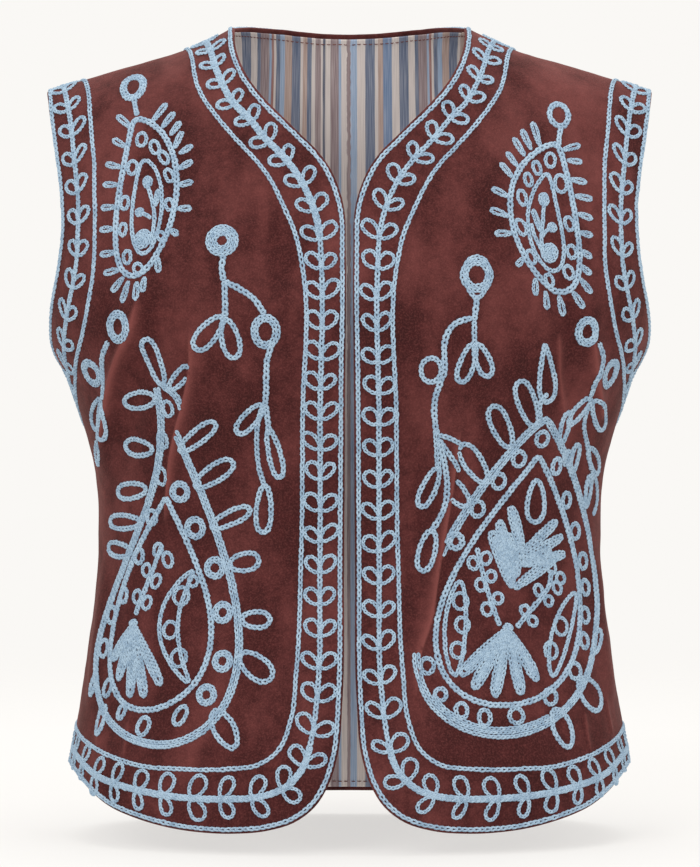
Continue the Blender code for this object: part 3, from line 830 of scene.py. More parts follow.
# the loops along a vine: how uneven they are, how far they keep from its ends, and their lift
vineHand = {"angle": 4, "length": 0.05, "width": 0.06, "clearStart": 7, "clearEnd": 9, "over": 0.25}
ringGrowth = 0.7  # millimetres added to the sizes of every ring
threadFinish = {
    "light": colour(157, 179, 196),
    "body": colour(140, 163, 183),
    "shade": colour(112, 136, 158),
    "plies": 2.6,
}


def makeThread():
    wool = Finish("embroidery")
    place = wool.place()
    along, around = wool.clothPlace()  # here along and round the thread
    fibres = wool.noise(place, 1500.0, 3.0, 0.65)
    worn = wool.noise(place, 60.0, 3.0, 0.6)
    tone = wool.crest()  # here a chance tone for each link
    twist = (along * (6283.0 / threadFinish["plies"]) + around * 3.1).wave()
    light = wool.ramp(tone * 0.45 + fibres * 0.35 + worn * 0.30 + twist * 0.10, 0.34, 0.82)
    base = wool.mix(light, threadFinish["body"], threadFinish["light"])
    dusty = wool.ramp(worn * 0.7 + tone * 0.3, 0.50, 0.24)
    base = wool.mix(dusty * 0.55, base, threadFinish["shade"])
    wool.set(baseColor=base, roughness=wool.ramp(fibres, 0.3, 0.7, 0.88, 0.70))
    wool.set(sheenWeight=0.25, sheenRoughness=0.5, sheenTint=threadFinish["light"])
    wool.shine(0.30)
    wool.set(normal=wool.bump(twist * 0.6 + fibres * 0.6, 0.45, 0.0007))
    return wool.material


def turned(vector, degrees):
    angle = np.radians(degrees)
    return np.array([
        vector[0] * np.cos(angle) - vector[1] * np.sin(angle),
        vector[0] * np.sin(angle) + vector[1] * np.cos(angle),
    ])


def loopTurn():
    # once round a loop, and the share of the way from its base to its tip
    t = np.linspace(0, 2 * np.pi, 97)
    return t, (1 - np.cos(t)) / 2


def laidBeside(base, tip, share, offset):
    # places some share of the way from base to tip, moved to the left by the offset
    base, tip = np.array(base, float), np.array(tip, float)
    ahead = (tip - base) / np.linalg.norm(tip - base)
    return base + share[:, None] * (tip - base) + offset[:, None] * np.array([-ahead[1], ahead[0]])


def drop(base, tip, width, taper, bow, hook, taperBack, skew, full=1.0):
    # A teardrop from its point to its round end and back: the bow bends it sideways, the hook curls the
    # point, the way back may taper otherwise, the skew makes one side wider, and full below 1 is rounder.
    t, share = loopTurn()
    outward = t < np.pi
    tapers = np.where(outward, taper, taperBack)
    spread = np.sign(np.sin(t)) * np.abs(np.sin(t)) ** full * np.abs(np.sin(t / 2)) ** tapers
    spread *= width / 2 * np.where(outward, (1 + skew) / spread.max(), (skew - 1) / spread.min())
    bend = bow * 4 * share * (1 - share) + hook * (1 - share) ** 3
    return laidBeside(base, tip, share, spread + bend)


def leafShape(base, tip, width, bow=0.0):
    # pointed at both ends
    t, share = loopTurn()
    spread = np.sin(t) * np.abs(np.sin(t)) ** 0.35 * width / 2
    return laidBeside(base, tip, share, spread + bow * 4 * share * (1 - share))


def curve(*places):
    # an open curve through a few places
    places = np.array(places, float)
    return evenly(places, 0.8) if len(places) > 2 else np.linspace(places[0], places[1], 24)


def between(line, lengths, at):
    return np.stack([np.interp(at, lengths, line[:, axis]) for axis in (0, 1)], -1)


class Needle:
    # Works chain stitch on one panel, in millimetres of its cloth, and makes one mesh of all its links.
    def __init__(self, name, form, panel, side, seed):
        self.name = name
        self.form = form
        self.panel = panel
        self.side = side
        self.random = np.random.default_rng(seed)
        self.links = []
        self.tuck = None  # a dart line and the side of it that shows, 1 away from the opening or -1

    def lengths(self, line):
        # measured on the body
        return runLengths(self.form.point(line[:, 0] / 1000, line[:, 1] / 1000) * 1000)

    def stretch(self, place):
        # how cloth coordinates turn into real sizes at a place
        nudges = (np.array([[0.5, 0], [-0.5, 0], [0, 0.5], [0, -0.5]]) + place) / 1000
        points = self.form.point(nudges[:, 0], nudges[:, 1]) * 1000
        across, up = points[0] - points[1], points[2] - points[3]
        level = across / np.linalg.norm(across)
        shear = up @ level
        return np.array([[np.linalg.norm(across), shear], [0.0, np.linalg.norm(up - shear * level)]])

    def chain(self, line, stitch, rows=(0.0,), over=0.0):
        closed = np.allclose(line[0], line[-1])
        for row in rows:
            path = besideLine(line, row) if row else line
            lengths = self.lengths(path)
            count = max(2, int(round(lengths[-1] / stitch.pitch)))
            at = np.linspace(0, lengths[-1], count + 1)
            at[1:-1] += self.random.normal(0, linkShape["unevenPitch"] * stitch.pitch, count - 1)
            spare = linkShape["overlap"] * stitch.pitch
            if closed:  # the last link runs on over the first
                path = np.concatenate([path[-17:-1], path, path[1:17]])
                whole = lengths[-1]
                lengths = np.concatenate([lengths[-17:-1] - whole, lengths, whole + lengths[1:17]])
            start = between(path, lengths, at[:-1] - spare)
            end = between(path, lengths, at[1:] + spare)
            made = np.column_stack([start, end, np.empty((count, 3))])
            made[:, :4] += self.random.normal(0, linkShape["waver"], (count, 4))
            made[:, 4] = stitch.width * self.random.normal(1, linkShape["unevenWidth"], count)
            made[:, 5] = stitch.strand
            made[:, 6] = over
            if self.tuck is not None:
                made = made[~self.folded(made[:, :2] / 2 + made[:, 2:4] / 2)]
            self.links.append(made)

    def folded(self, places):
        # whether a place is past the dart, where the cloth is folded under
        line, shown = np.array(self.tuck[0]), self.tuck[1]
        dart = np.interp(places[:, 1], line[::-1, 1], line[::-1, 0])
        within = (places[:, 1] < line[0, 1]) & (places[:, 1] > line[-1, 1])
        return within & ((places[:, 0] - dart) * shown < 0.9)

    def shaped(self, base, tip, shape, *sizes):
        # a shape drawn in real sizes from a base to a tip, in cloth coordinates
        base, stretch = np.array(base, float), self.stretch(base)
        reach = stretch @ (np.array(tip) - base)
        return base + shape((0.0, 0.0), reach, *sizes) @ np.linalg.inv(stretch).T

    def ring(self, centre, across, up, stitch=loopStitch, rows=1, gap=2.3, over=0.0, tilt=0.0):
        # sizes over the outside of the ring, which leans to the left when tilted
        across, up = across + ringGrowth, up + ringGrowth
        back = np.linalg.inv(self.stretch(centre))
        for row in range(rows):
            reach = np.maximum(np.array([across, up]) / 2 - stitch.width / 2 - row * gap, 0.9)
            t = np.linspace(0, 2 * np.pi, 65) + row * 2.1
            round = np.stack([np.cos(t), np.sin(t)] * reach[:, None])
            self.chain(centre + (back @ turned(round, tilt)).T, stitch, over=over)

    def stem(self, stitch, *places):
        self.chain(curve(*places), stitch)

    def loop(self, base, tip, width, stitch=loopStitch, taper=0.5, over=0.0):
        # width over the outside of the loop
        line = self.shaped(base, tip, drop, width - stitch.width, taper, 0.0, 0.0, taper, 0.0, 0.8)
        self.chain(line, stitch, over=over)

    def leaf(self, base, tip, width, stitch=loopStitch, bow=0.0):
        self.chain(self.shaped(base, tip, leafShape, width - stitch.width, bow), stitch)

    def finger(self, base, tip, width, taper):
        # a loop filled with rows up its middle
        self.loop(base, tip, width, loopStitch, taper)
        base, tip = np.array(base, float), np.array(tip, float)
        if width > 2.6 * loopStitch.width:
            inner = width - 1.5 * loopStitch.width
            self.loop(base * 0.9 + tip * 0.1, base * 0.08 + tip * 0.92, inner, loopStitch, taper)
        self.stem(loopStitch, base * 0.8 + tip * 0.2, base * 0.13 + tip * 0.87)

    def work(self, steps):
        # each step says what is worked and then how
        for kind, *how in steps:
            getattr(self, kind)(*how)

    def vine(self, line, plan, gaps, anchor, doubled=()):
        # a stem with pairs of loops, counted both ways from the point of the line nearest the anchor;
        # double rows run beside the stem between some shares of its length
        lengths = self.lengths(line)
        self.chain(line, vineStitch)
        for start, end in doubled:
            first, last = np.searchsorted(lengths, [start * lengths[-1], end * lengths[-1]])
            self.chain(line[first:last], pairStitch, pairRows, 0.15)
        joints = [lengths[np.linalg.norm(line - anchor, axis=1).argmin()]]
        shares, steps = np.array(gaps).T
        while joints[-1] < lengths[-1]:
            joints.append(joints[-1] + np.interp(joints[-1] / lengths[-1], shares, steps))
        while joints[0] > 0:
            joints.insert(0, joints[0] - np.interp(joints[0] / lengths[-1], shares, steps))
        joints = np.array(joints)
        joints = joints[(joints > vineHand["clearStart"]) & (joints < lengths[-1] - vineHand["clearEnd"])]
        places, ahead = between(line, lengths, joints), between(line, lengths, joints + 1)
        for place, heading, at in zip(places, ahead - places, joints):
            stretch = self.stretch(place)
            heading = stretch @ heading
            table = np.array(plan)
            sizes = [np.interp(at / lengths[-1], table[:, 0], column) for column in table.T[1:]]
            for hand, (angle, length, width) in ((1, sizes[:3]), (-1, sizes[3:])):
                angle = hand * (angle + self.random.normal(0, vineHand["angle"]))
                way = turned(heading / np.linalg.norm(heading), angle)
                reach = np.linalg.inv(stretch) @ way * length * self.random.normal(1, vineHand["length"])
                width = width * self.random.normal(1, vineHand["width"])
                self.loop(place, place + reach, width, fineStitch, 0.6, vineHand["over"])

    def sew(self, material):
        links = np.concatenate(self.links)
        count, steps = len(links), linkShape["points"]
        start, end = links[:, :2] / 1000, links[:, 2:4] / 1000
        places = np.concatenate([start, (start + end) / 2, end]) * [self.side, 1.0]
        points, out, _ = laidOut(self.form, self.panel, places)
        first, middle, last = points.reshape(3, count, 1, 1, 3)
        out = out[count : 2 * count, None, None]
        ahead = last - first
        length = np.linalg.norm(ahead, axis=-1)
        sideways = np.cross(out, ahead)
        sideways /= np.linalg.norm(sideways, axis=-1, keepdims=True)
        # the bent strand of a link, and round it half a section
        t = np.linspace(linkShape["tail"], 2 * np.pi - linkShape["tail"], steps)
        share = (1 - np.cos(t)) / 2
        spread = np.sin(t) * np.sin(t / 2) ** linkShape["taper"]
        half = links[:, 5, None] / 2000
        along = share * (length[:, :, 0] - 2 * half) + half
        beside = spread / spread.max() * (links[:, 4, None] / 2000 - half)
        slope = np.stack([np.gradient(along, axis=1), np.gradient(beside, axis=1)], -1)
        slope /= np.linalg.norm(slope, axis=2, keepdims=True)
        section = np.array(linkShape["section"])
        across = along[..., None] - slope[..., 1:2] * section[:, 0] * half[..., None]
        beside = beside[..., None] + slope[..., 0:1] * section[:, 0] * half[..., None]
        lap = (share - linkShape["holdPlace"]) / linkShape["holdPlace"]
        held = linkShape["rest"] + linkShape["hold"] * np.exp(-(lap**2))
        high = (held[:, None] + links[:, 6, None, None]) / 1000 + section[:, 1] * half[..., None]
        u = (across / length)[..., None]
        made = first * (2 * u - 1) * (u - 1) + middle * 4 * u * (1 - u) + last * u * (2 * u - 1)
        made = made + sideways * beside[..., None] + out * high[..., None]
        corner = np.arange(count * steps * 4).reshape(count, steps, 4)
        sides = [corner[:, :-1, :-1], corner[:, 1:, :-1], corner[:, 1:, 1:], corner[:, :-1, 1:]]
        quads = np.stack(sides, -1).reshape(-1, 4)
        run = np.linspace(0, 2.4, steps)[None, :, None] * length
        around = np.array([0.0, 0.0003, 0.0007, 0.001])
        uv = np.stack(np.broadcast_arrays(run, around), -1).reshape(-1, 2)
        tone = np.repeat(self.random.uniform(0, 1, count), steps * 4)
        print("sewn:", self.name, count, "links")
        return meshObject(self.name, made.reshape(-1, 3), quads, material, uv, tone)


# Border lines, in metres of cloth from the side seam round the hem and up to the shoulder, or up the armhole.
frontStem = [
    ("seam", -0.4765), (0.2045, -0.4860), (0.1794, -0.4945), (0.1600, -0.4985), (0.1400, -0.5015),
    (0.1070, -0.5045), (0.0755, -0.5045), (0.0580, -0.5030), (0.0420, -0.4975), (0.0305, -0.4860),
    (0.0240, -0.4650), (0.0203, -0.4350), (0.0191, -0.3600), (0.0188, -0.2600), (0.0181, -0.1630),
    (0.0195, -0.1447), (0.0241, -0.1297), (0.0315, -0.1148), (0.0430, -0.0993), (0.0551, -0.0852),
    (0.0666, -0.0677), (0.0795, -0.0500), (0.0914, -0.0235), (0.1026, 0.0233), (0.1085, "top"),
]
frontInner = [
    ("seam", -0.4640), (0.2170, -0.4693), (0.1921, -0.4751), (0.1601, -0.4825), (0.1356, -0.4863),
    (0.1140, -0.4866), (0.0753, -0.4855), (0.0577, -0.4827), (0.0455, -0.4739), (0.0379, -0.4564),
    (0.0342, -0.4262), (0.0312, -0.3533), (0.0300, -0.2600), (0.0296, -0.1693), (0.0335, -0.1503),
    (0.0421, -0.1301), (0.0539, -0.1076), (0.0700, -0.0858), (0.0874, -0.0609), (0.1064, -0.0249),
    (0.1155, 0.0246), (0.1204, "top"),
]
armStem = [
    ("seam", -0.2580), (0.2420, -0.2500), (0.2230, -0.2370), (0.2082, -0.2173), (0.1988, -0.1961),
    (0.1894, -0.1713), (0.1857, -0.1423), (0.1855, -0.1082), (0.1930, -0.0513), (0.2025, 0.0142),
    (0.2060, "top"),
]
armInner = [
    ("seam", -0.2750), (0.2214, -0.2524), (0.2010, -0.2310), (0.1843, -0.2094), (0.1792, -0.1966),
    (0.1720, -0.1654), (0.1711, -0.1282), (0.1745, -0.0747), (0.1818, -0.0280), (0.1898, 0.0363),
    (0.1925, "top"),
]
backHemStem = [("seam", -0.4765), (0.1700, -0.4890), (0.1200, -0.4985), (0.0600, -0.5025), (0.0000, -0.5030)]
backHemInner = [("seam", -0.4640), (0.1700, -0.4740), (0.1200, -0.4815), (0.0600, -0.4855), (0.0000, -0.4860)]
backNeckStem = [
    (0.0000, -0.0300), (0.0200, -0.0270), (0.0380, -0.0190), (0.0560, -0.0065), (0.0760, 0.0120),
    (0.0930, 0.0340), (0.1085, "top"),
]
backNeckInner = [
    (0.0000, -0.0420), (0.0230, -0.0385), (0.0440, -0.0290), (0.0650, -0.0140), (0.0860, 0.0060),
    (0.1040, 0.0290), (0.1204, "top"),
]
backArmStem = [
    ("seam", -0.2580), (0.1990, -0.2545), (0.1880, -0.2400), (0.1815, -0.2150), (0.1820, -0.1900),
    (0.1875, -0.1580), (0.1910, -0.1200), (0.1975, -0.0700), (0.2035, 0.0050), (0.2060, "top"),
]
backArmInner = [
    ("seam", -0.2750), (0.1930, -0.2700), (0.1765, -0.2520), (0.1690, -0.2180), (0.1690, -0.1880),
    (0.1740, -0.1540), (0.1775, -0.1180), (0.1835, -0.0680), (0.1895, 0.0080), (0.1925, "top"),
]
# The pairs of loops along a stem: share of its length, then the spread, length and width of the loops on its
# left and on its right as it runs.
LoopPlan = namedtuple("LoopPlan", "share spread length width spreadRight lengthRight widthRight")
border = {
    "edgeInset": 2.7,
    # where double rows run beside the stem, in shares of its length
    "doubled": {"front_right": [(0.0, 0.34), (0.74, 1.0)], "front_left": [(0.0, 0.34)], "back": [(0.0, 1.0)]},
    # space between pairs of loops, by share of the length
    "gaps": {
        "front_right": [(0.0, 20.0), (0.30, 20.4), (0.38, 21.2), (0.53, 20.0), (0.70, 19.2), (1.0, 19.2)],
        "front_left": [(0.0, 20.6), (0.30, 20.8), (0.38, 22.2), (0.53, 20.6), (0.70, 19.9), (1.0, 19.6)],
        "back": [(0.0, 20.0), (1.0, 20.0)],
        "arm": [(0.0, 21.5), (1.0, 21.5)],
    },
    "front": [
        LoopPlan(0.00, 60, 10.5, 8.6, 64, 11.5, 9.6),
        LoopPlan(0.10, 60, 12.5, 9.6, 68, 13.8, 11.2),
        LoopPlan(0.20, 60, 14.5, 11.0, 70, 15.5, 12.8),
        LoopPlan(0.34, 54, 14.3, 10.8, 52, 14.6, 11.6),
        LoopPlan(0.42, 42, 14.0, 11.2, 42, 14.0, 11.2),
        LoopPlan(0.72, 43, 13.8, 11.0, 43, 13.8, 11.0),
        LoopPlan(0.80, 46, 12.8, 9.8, 46, 12.8, 9.8),
        LoopPlan(1.00, 46, 12.2, 9.4, 46, 12.2, 9.4),
    ],
    "arm": [LoopPlan(0.0, 42, 11.8, 9.2, 42, 11.8, 9.2), LoopPlan(0.2, 40, 13.6, 10.0, 40, 13.6, 10.0),
            LoopPlan(1.0, 38, 13.6, 10.0, 38, 13.6, 10.0)],
    "hem": [LoopPlan(0.0, 60, 10.5, 8.6, 64, 11.5, 9.6), LoopPlan(0.15, 60, 13.0, 10.0, 68, 14.2, 11.5),
            LoopPlan(1.0, 60, 14.0, 10.6, 68, 15.0, 12.2)],
}


def worked(form, rows):
    return evenly(edgePlaces(form, rows), 0.0008) * 1000


def workFrontBorder(name, side, seed, anchor):
    needle = Needle("border_" + name, frontForm, name, side, seed)
    edge = besideLine(worked(frontForm, frontEdge), -border["edgeInset"])
    arm = besideLine(worked(frontForm, frontArmhole)[::-1], border["edgeInset"])
    needle.chain(edge, edgeStitch)
    needle.chain(arm, edgeStitch)
    needle.chain(worked(frontForm, frontInner), edgeStitch)
    needle.chain(worked(frontForm, armInner), edgeStitch)
    gaps, doubled = border["gaps"], border["doubled"]
    needle.vine(worked(frontForm, frontStem), border["front"], gaps[name], anchor, doubled[name])
    needle.vine(worked(frontForm, armStem), border["arm"], gaps["arm"], (186, -125))
    top = frontForm.top * 1000 - 2.2
    needle.chain(curve((213.0, top), (192.5, top)), edgeStitch)
    return needle


def workBackBorder():
    needle = Needle("border_back", backForm, "back", 1, 31)
    gaps, doubled = border["gaps"], border["doubled"]
    for side in (1, -1):
        def flip(rows):
            return worked(backForm, rows) * [side, 1]
        edge = besideLine(worked(backForm, backHem), -border["edgeInset"]) * [side, 1]
        neck = besideLine(worked(backForm, backNeck), -border["edgeInset"]) * [side, 1]
        arm = besideLine(worked(backForm, backArmhole)[::-1], border["edgeInset"]) * [side, 1]
        for line in (edge, neck, arm, flip(backHemInner), flip(backNeckInner), flip(backArmInner)):
            needle.chain(line, edgeStitch)
        needle.vine(flip(backHemStem), border["hem"], gaps["back"], (side * 15, -503), doubled["back"])
        needle.vine(flip(backNeckStem)[::-1], border["arm"], gaps["back"], (side * 12, -29))
        needle.vine(flip(backArmStem), border["arm"], gaps["arm"], (side * 188, -158))
    return needle


motif = {
    "spikeWidth": 5.4,
    "leafTaper": 0.35,
    "fanKnob": (10.0, 7.0),
    "petalTaper": 0.55,
    "podRing": 1.1,  # how much taller than broad
}


def workPaisleySmall(needle, sizes):
    # the upper paisley: spiked outline, small rings inside it, and a bud on its stem
    needle.chain(drop(*sizes["outer"]), stemStitch)
    needle.chain(drop(*sizes["inner"]), pairStitch)
    for base, tip in sizes["spikes"]:
        needle.loop(base, tip, motif["spikeWidth"], tinyStitch, 1.0)
    for place, across, up, tilt in sizes["rings"]:
        needle.ring(place, across, up, fineStitch, tilt=tilt)
    for line in sizes["stems"]:
        needle.stem(pairStitch, *line)
    for place, across, up in sizes["knobs"]:
        needle.ring(place, across, up, fineStitch, rows=2, gap=1.7)
    for base, tip, width in sizes["leaves"]:
        needle.loop(base, tip, width, tinyStitch)
    place, across, up, tilt = sizes["seed"]
    needle.ring(place, across, up, pairStitch, rows=3, gap=2.1, tilt=tilt)


def workFan(needle, knob, tips, width):
    for tip in tips:
        needle.finger(knob, tip, width, 1.0)
    needle.ring(knob, *motif["fanKnob"], loopStitch, rows=2, gap=1.8, over=0.5)


def workPod(needle, base, tip, width, bow, rings):
    needle.leaf(base, tip, width, bow=bow)
    for centre, size in rings:
        needle.ring(centre, size, size * motif["podRing"], fineStitch)


def workLeaves(needle, sizes):
    for base, tip, width in sizes["leaves"]:
        needle.loop(base, tip, width, vineStitch, motif["leafTaper"])
    for base, tip, width in sizes["pointed"]:
        needle.leaf(base, tip, width, vineStitch)


def workSprig(needle, line, loops):
    # a stem with pairs of little loops beside it, each given by its middle and its sizes
    needle.stem(vineStitch, *line)
    for place, across, up, tilt in loops:
        needle.ring(place, across, up, fineStitch, tilt=tilt)


rightPaisley = {
    "outer": ((146.1, -35.8), (141.1, -170.4), 41.2, 0.80, -9.4, 4.1, 0.00, -0.020),
    "inner": ((133.5, -75.3), (134.4, -154.9), 20.6, 0.51, -1.3, 5.6, 0.03, -0.012),
    # base and tip
    "spikes": [
        ((150.6, -44.3), (162.9, -27.4)), ((152.6, -60.9), (163.6, -49.5)),
        ((153.4, -79.2), (166.5, -72.0)), ((154.2, -94.7), (166.5, -91.4)),
        ((154.6, -114.3), (167.0, -113.2)), ((154.9, -133.0), (167.2, -132.5)),
        ((153.3, -152.0), (166.8, -153.1)), ((150.3, -165.0), (163.6, -167.6)),
        ((147.4, -170.1), (157.4, -180.6)), ((144.1, -172.5), (149.2, -188.2)),
        ((138.4, -173.0), (138.5, -187.0)), ((133.0, -169.8), (134.2, -181.5)),
        ((124.4, -156.0), (123.6, -168.4)), ((117.0, -136.4), (110.6, -141.8)),
        ((113.2, -121.0), (102.1, -122.7)), ((113.5, -102.9), (102.8, -101.8)),
        ((114.6, -89.8), (104.2, -85.2)), ((115.3, -77.0), (105.6, -72.4)),
        ((118.6, -72.2), (114.4, -57.8)), ((122.8, -59.5), (116.4, -48.6)),
        ((129.6, -51.0), (121.6, -38.6)), ((136.9, -43.4), (128.0, -28.6)),
    ],
    # middle, size across and up, lean
    "rings": [
        ((142.3, -56.8), 9.0, 14.2, 0), ((132.1, -66.5), 8.0, 14.4, -15), ((124.9, -77.1), 7.4, 14.8, -25),
        ((146.0, -81.0), 9.0, 13.4, 0), ((119.6, -93.5), 7.2, 14.2, -20), ((117.8, -117.4), 7.8, 12.2, -15),
        ((149.0, -111.7), 8.0, 12.8, 0), ((149.4, -134.2), 7.4, 12.4, 0), ((145.8, -156.0), 7.8, 12.4, 0),
        ((137.9, -165.0), 8.6, 11.2, -25), ((122.1, -141.9), 7.2, 11.4, -30),
    ],
    "stems": [
        [(134.0, -99.0), (132.7, -102.9), (129.8, -112.5), (127.6, -123.1), (127.6, -135.5), (129.5, -147.4)],
        [(136.5, -122.0), (133.0, -123.6), (129.5, -127.5)],
    ],
    "knobs": [((134.3, -95.9), 7.6, 10.8), ((138.0, -121.2), 7.8, 7.8)],
    "leaves": [((127.4, -118.8), (125.9, -103.0), 4.6)],
    "seed": ((134.9, -142.9), 12.7, 14.6, 25),
}
leftPaisley = {
    "outer": ((156.6, -63.1), (136.9, -180.9), 47.1, 0.83, -20.4, -15.1, 0.38, 0.108),
    "inner": ((123.9, -88.9), (134.6, -166.9), 23.1, 0.57, -3.0, 8.1, 0.70, -0.060),
    "spikes": [
        ((129.3, -67.5), (126.2, -45.6)), ((123.0, -71.9), (117.8, -55.2)),
        ((118.1, -78.5), (111.0, -64.5)), ((112.3, -89.0), (104.6, -78.8)), ((107.8, -98.9), (99.2, -89.5)),
        ((104.4, -115.3), (92.0, -110.6)), ((103.6, -130.0), (90.2, -125.8)),
        ((105.4, -141.7), (92.7, -142.8)), ((112.8, -158.0), (106.6, -164.6)),
        ((119.8, -171.0), (119.8, -183.8)), ((127.0, -179.5), (128.6, -193.0)),
        ((137.3, -182.2), (141.0, -196.8)), ((146.0, -179.6), (154.2, -191.6)),
        ((151.2, -170.6), (160.4, -181.6)), ((150.9, -161.7), (160.6, -168.2)),
        ((151.4, -150.5), (160.8, -155.8)), ((151.0, -135.8), (162.0, -138.2)),
        ((150.0, -120.2), (162.2, -123.8)), ((148.7, -105.0), (163.0, -105.8)),
        ((146.5, -90.8), (159.8, -91.4)), ((146.0, -74.4), (158.2, -72.6)),
        ((143.8, -66.2), (158.6, -56.6)),
    ],
    "rings": [
        ((135.1, -77.0), 9.0, 14.0, 0), ((125.1, -86.0), 7.4, 13.6, 15), ((118.1, -97.3), 7.2, 13.4, 12),
        ((112.8, -112.8), 8.0, 14.4, 15), ((110.9, -136.0), 8.8, 14.6, 25),
        ((117.2, -157.4), 8.0, 13.0, 22), ((130.3, -172.9), 8.0, 12.2, 22),
        ((143.8, -167.1), 8.2, 12.8, 25), ((145.6, -152.1), 9.0, 12.0, 15),
        ((144.5, -129.8), 8.6, 13.0, 15), ((140.4, -96.4), 10.4, 16.2, 0),
    ],
    "stems": [
        [(127.6, -115.5), (126.8, -121.6), (125.9, -131.0), (124.5, -142.0), (124.8, -149.9)],
        [(130.5, -135.5), (127.6, -137.4), (124.8, -142.4)],
        [(117.9, -131.8), (119.6, -141.0), (123.7, -150.3), (127.6, -157.0)],
    ],
    "knobs": [((127.7, -111.8), 8.0, 11.4), ((132.2, -134.1), 8.2, 8.4)],
    "leaves": [((124.4, -139.3), (119.6, -120.2), 4.8)],
    "seed": ((130.1, -153.5), 13.2, 14.2, 20),
}


# Each row says what is worked, and then how: a stem's stitch and places, a ring's middle, sizes, stitch, rows
# and the gap between them, a loop's or leaf's base, tip, width, stitch and taper.
rightShoulder = [
    ("ring", (153.6, -1.6), 19.0, 27.0, loopStitch, 2, 2.3),
    ("stem", vineStitch, (152.6, -12.0), (151.9, -16.5), (148.1, -33.4)),
]
rightSprays = [
    # hanging
    ("ring", (81.9, -147.8), 22.0, 21.6, pairStitch, 3, 2.3),
    ("stem", stemStitch, (80.5, -156.8), (82.0, -166.3), (80.4, -174.9)),
    ("stem", stemStitch, (79.9, -174.0), (79.6, -186.4), (79.6, -197.8)),
    ("stem", stemStitch, (80.4, -174.9), (73.5, -178.1), (64.2, -183.4), (58.1, -189.5), (54.3, -196.4)),
    ("loop", (80.4, -196.7), (99.8, -218.1), 15.5, vineStitch),
    ("loop", (79.9, -197.8), (73.3, -224.3), 15.0, vineStitch),
    ("ring", (53.6, -207.0), 19.6, 23.2, loopStitch, 2, 2.2),
    ("stem", stemStitch, (49.0, -213.5), (52.9, -225.9), (53.3, -238.0), (53.8, -250.1), (54.2, -254.5)),
    ("loop", (55.1, -252.9), (72.9, -272.4), 13.0, vineStitch, 0.3),
    ("stem", vineStitch, (55.3, -253.0), (58.9, -265.3), (59.8, -280.6), (58.8, -292.8), (55.0, -305.1)),
    ("loop", (54.5, -303.6), (56.1, -336.6), 13.8, vineStitch),
    ("stem", stemStitch, (53.6, -253.2), (52.7, -262.3), (51.7, -273.0)),
    ("loop", (52.3, -267.9), (44.5, -301.4), 11.8, vineStitch),
    # under the armhole
    ("ring", (152.0, -203.0), 19.0, 22.0, loopStitch, 2, 2.4),
    ("stem", stemStitch, (160.0, -212.0), (167.0, -222.0), (168.0, -238.0), (169.0, -249.0)),
    ("ring", (180.4, -232.6), 20.0, 20.5, loopStitch, 2, 2.2),
    ("loop", (171, -249), (189, -268), 16.5, vineStitch),
    ("loop", (171, -250), (176, -276), 13.0, vineStitch),
    ("stem", loopStitch, (176.0, -262.0), (184.0, -276.0)),
    ("loop", (184, -276), (193, -293), 11.0),
]


def workRightFront():
    needle = Needle("motifs_front_right", frontForm, "front_right", -1, 41)
    needle.work(rightShoulder)
    workPaisleySmall(needle, rightPaisley)
    needle.work(rightSprays)
    # the large paisley, whose neck goes under the dart
    needle.tuck = (largeRight["dart"], 1)
    needle.chain(curve(*largeRight["neck"]), pairStitch, pairRows)
    for base, tip, width in largeRight["tucked"]:
        needle.loop(base, tip, width, vineStitch, motif["leafTaper"])
    outer, inner = drop(*largeRight["outer"]), drop(*largeRight["inner"])
    needle.chain(outer[:52], pairStitch, outlineRows)
    needle.tuck = (largeRight["dart"], -1)
    needle.chain(outer[46:], pairStitch, outlineRows)
    needle.tuck = None
    needle.chain(inner, stemStitch)
    workLeaves(needle, largeRight)
    for place, across, up, tilt, stitch in largeRight["rings"]:
        needle.ring(place, across, up, stitch, 2 if stitch is pairStitch else 1, 1.6, tilt=tilt)
    workSprig(needle, largeRight["sprig"], largeRight["sprigLoops"])
    workFan(needle, *largeRight["fan"])
    for pod in largeRight["pods"]:
        workPod(needle, *pod)
    return needle


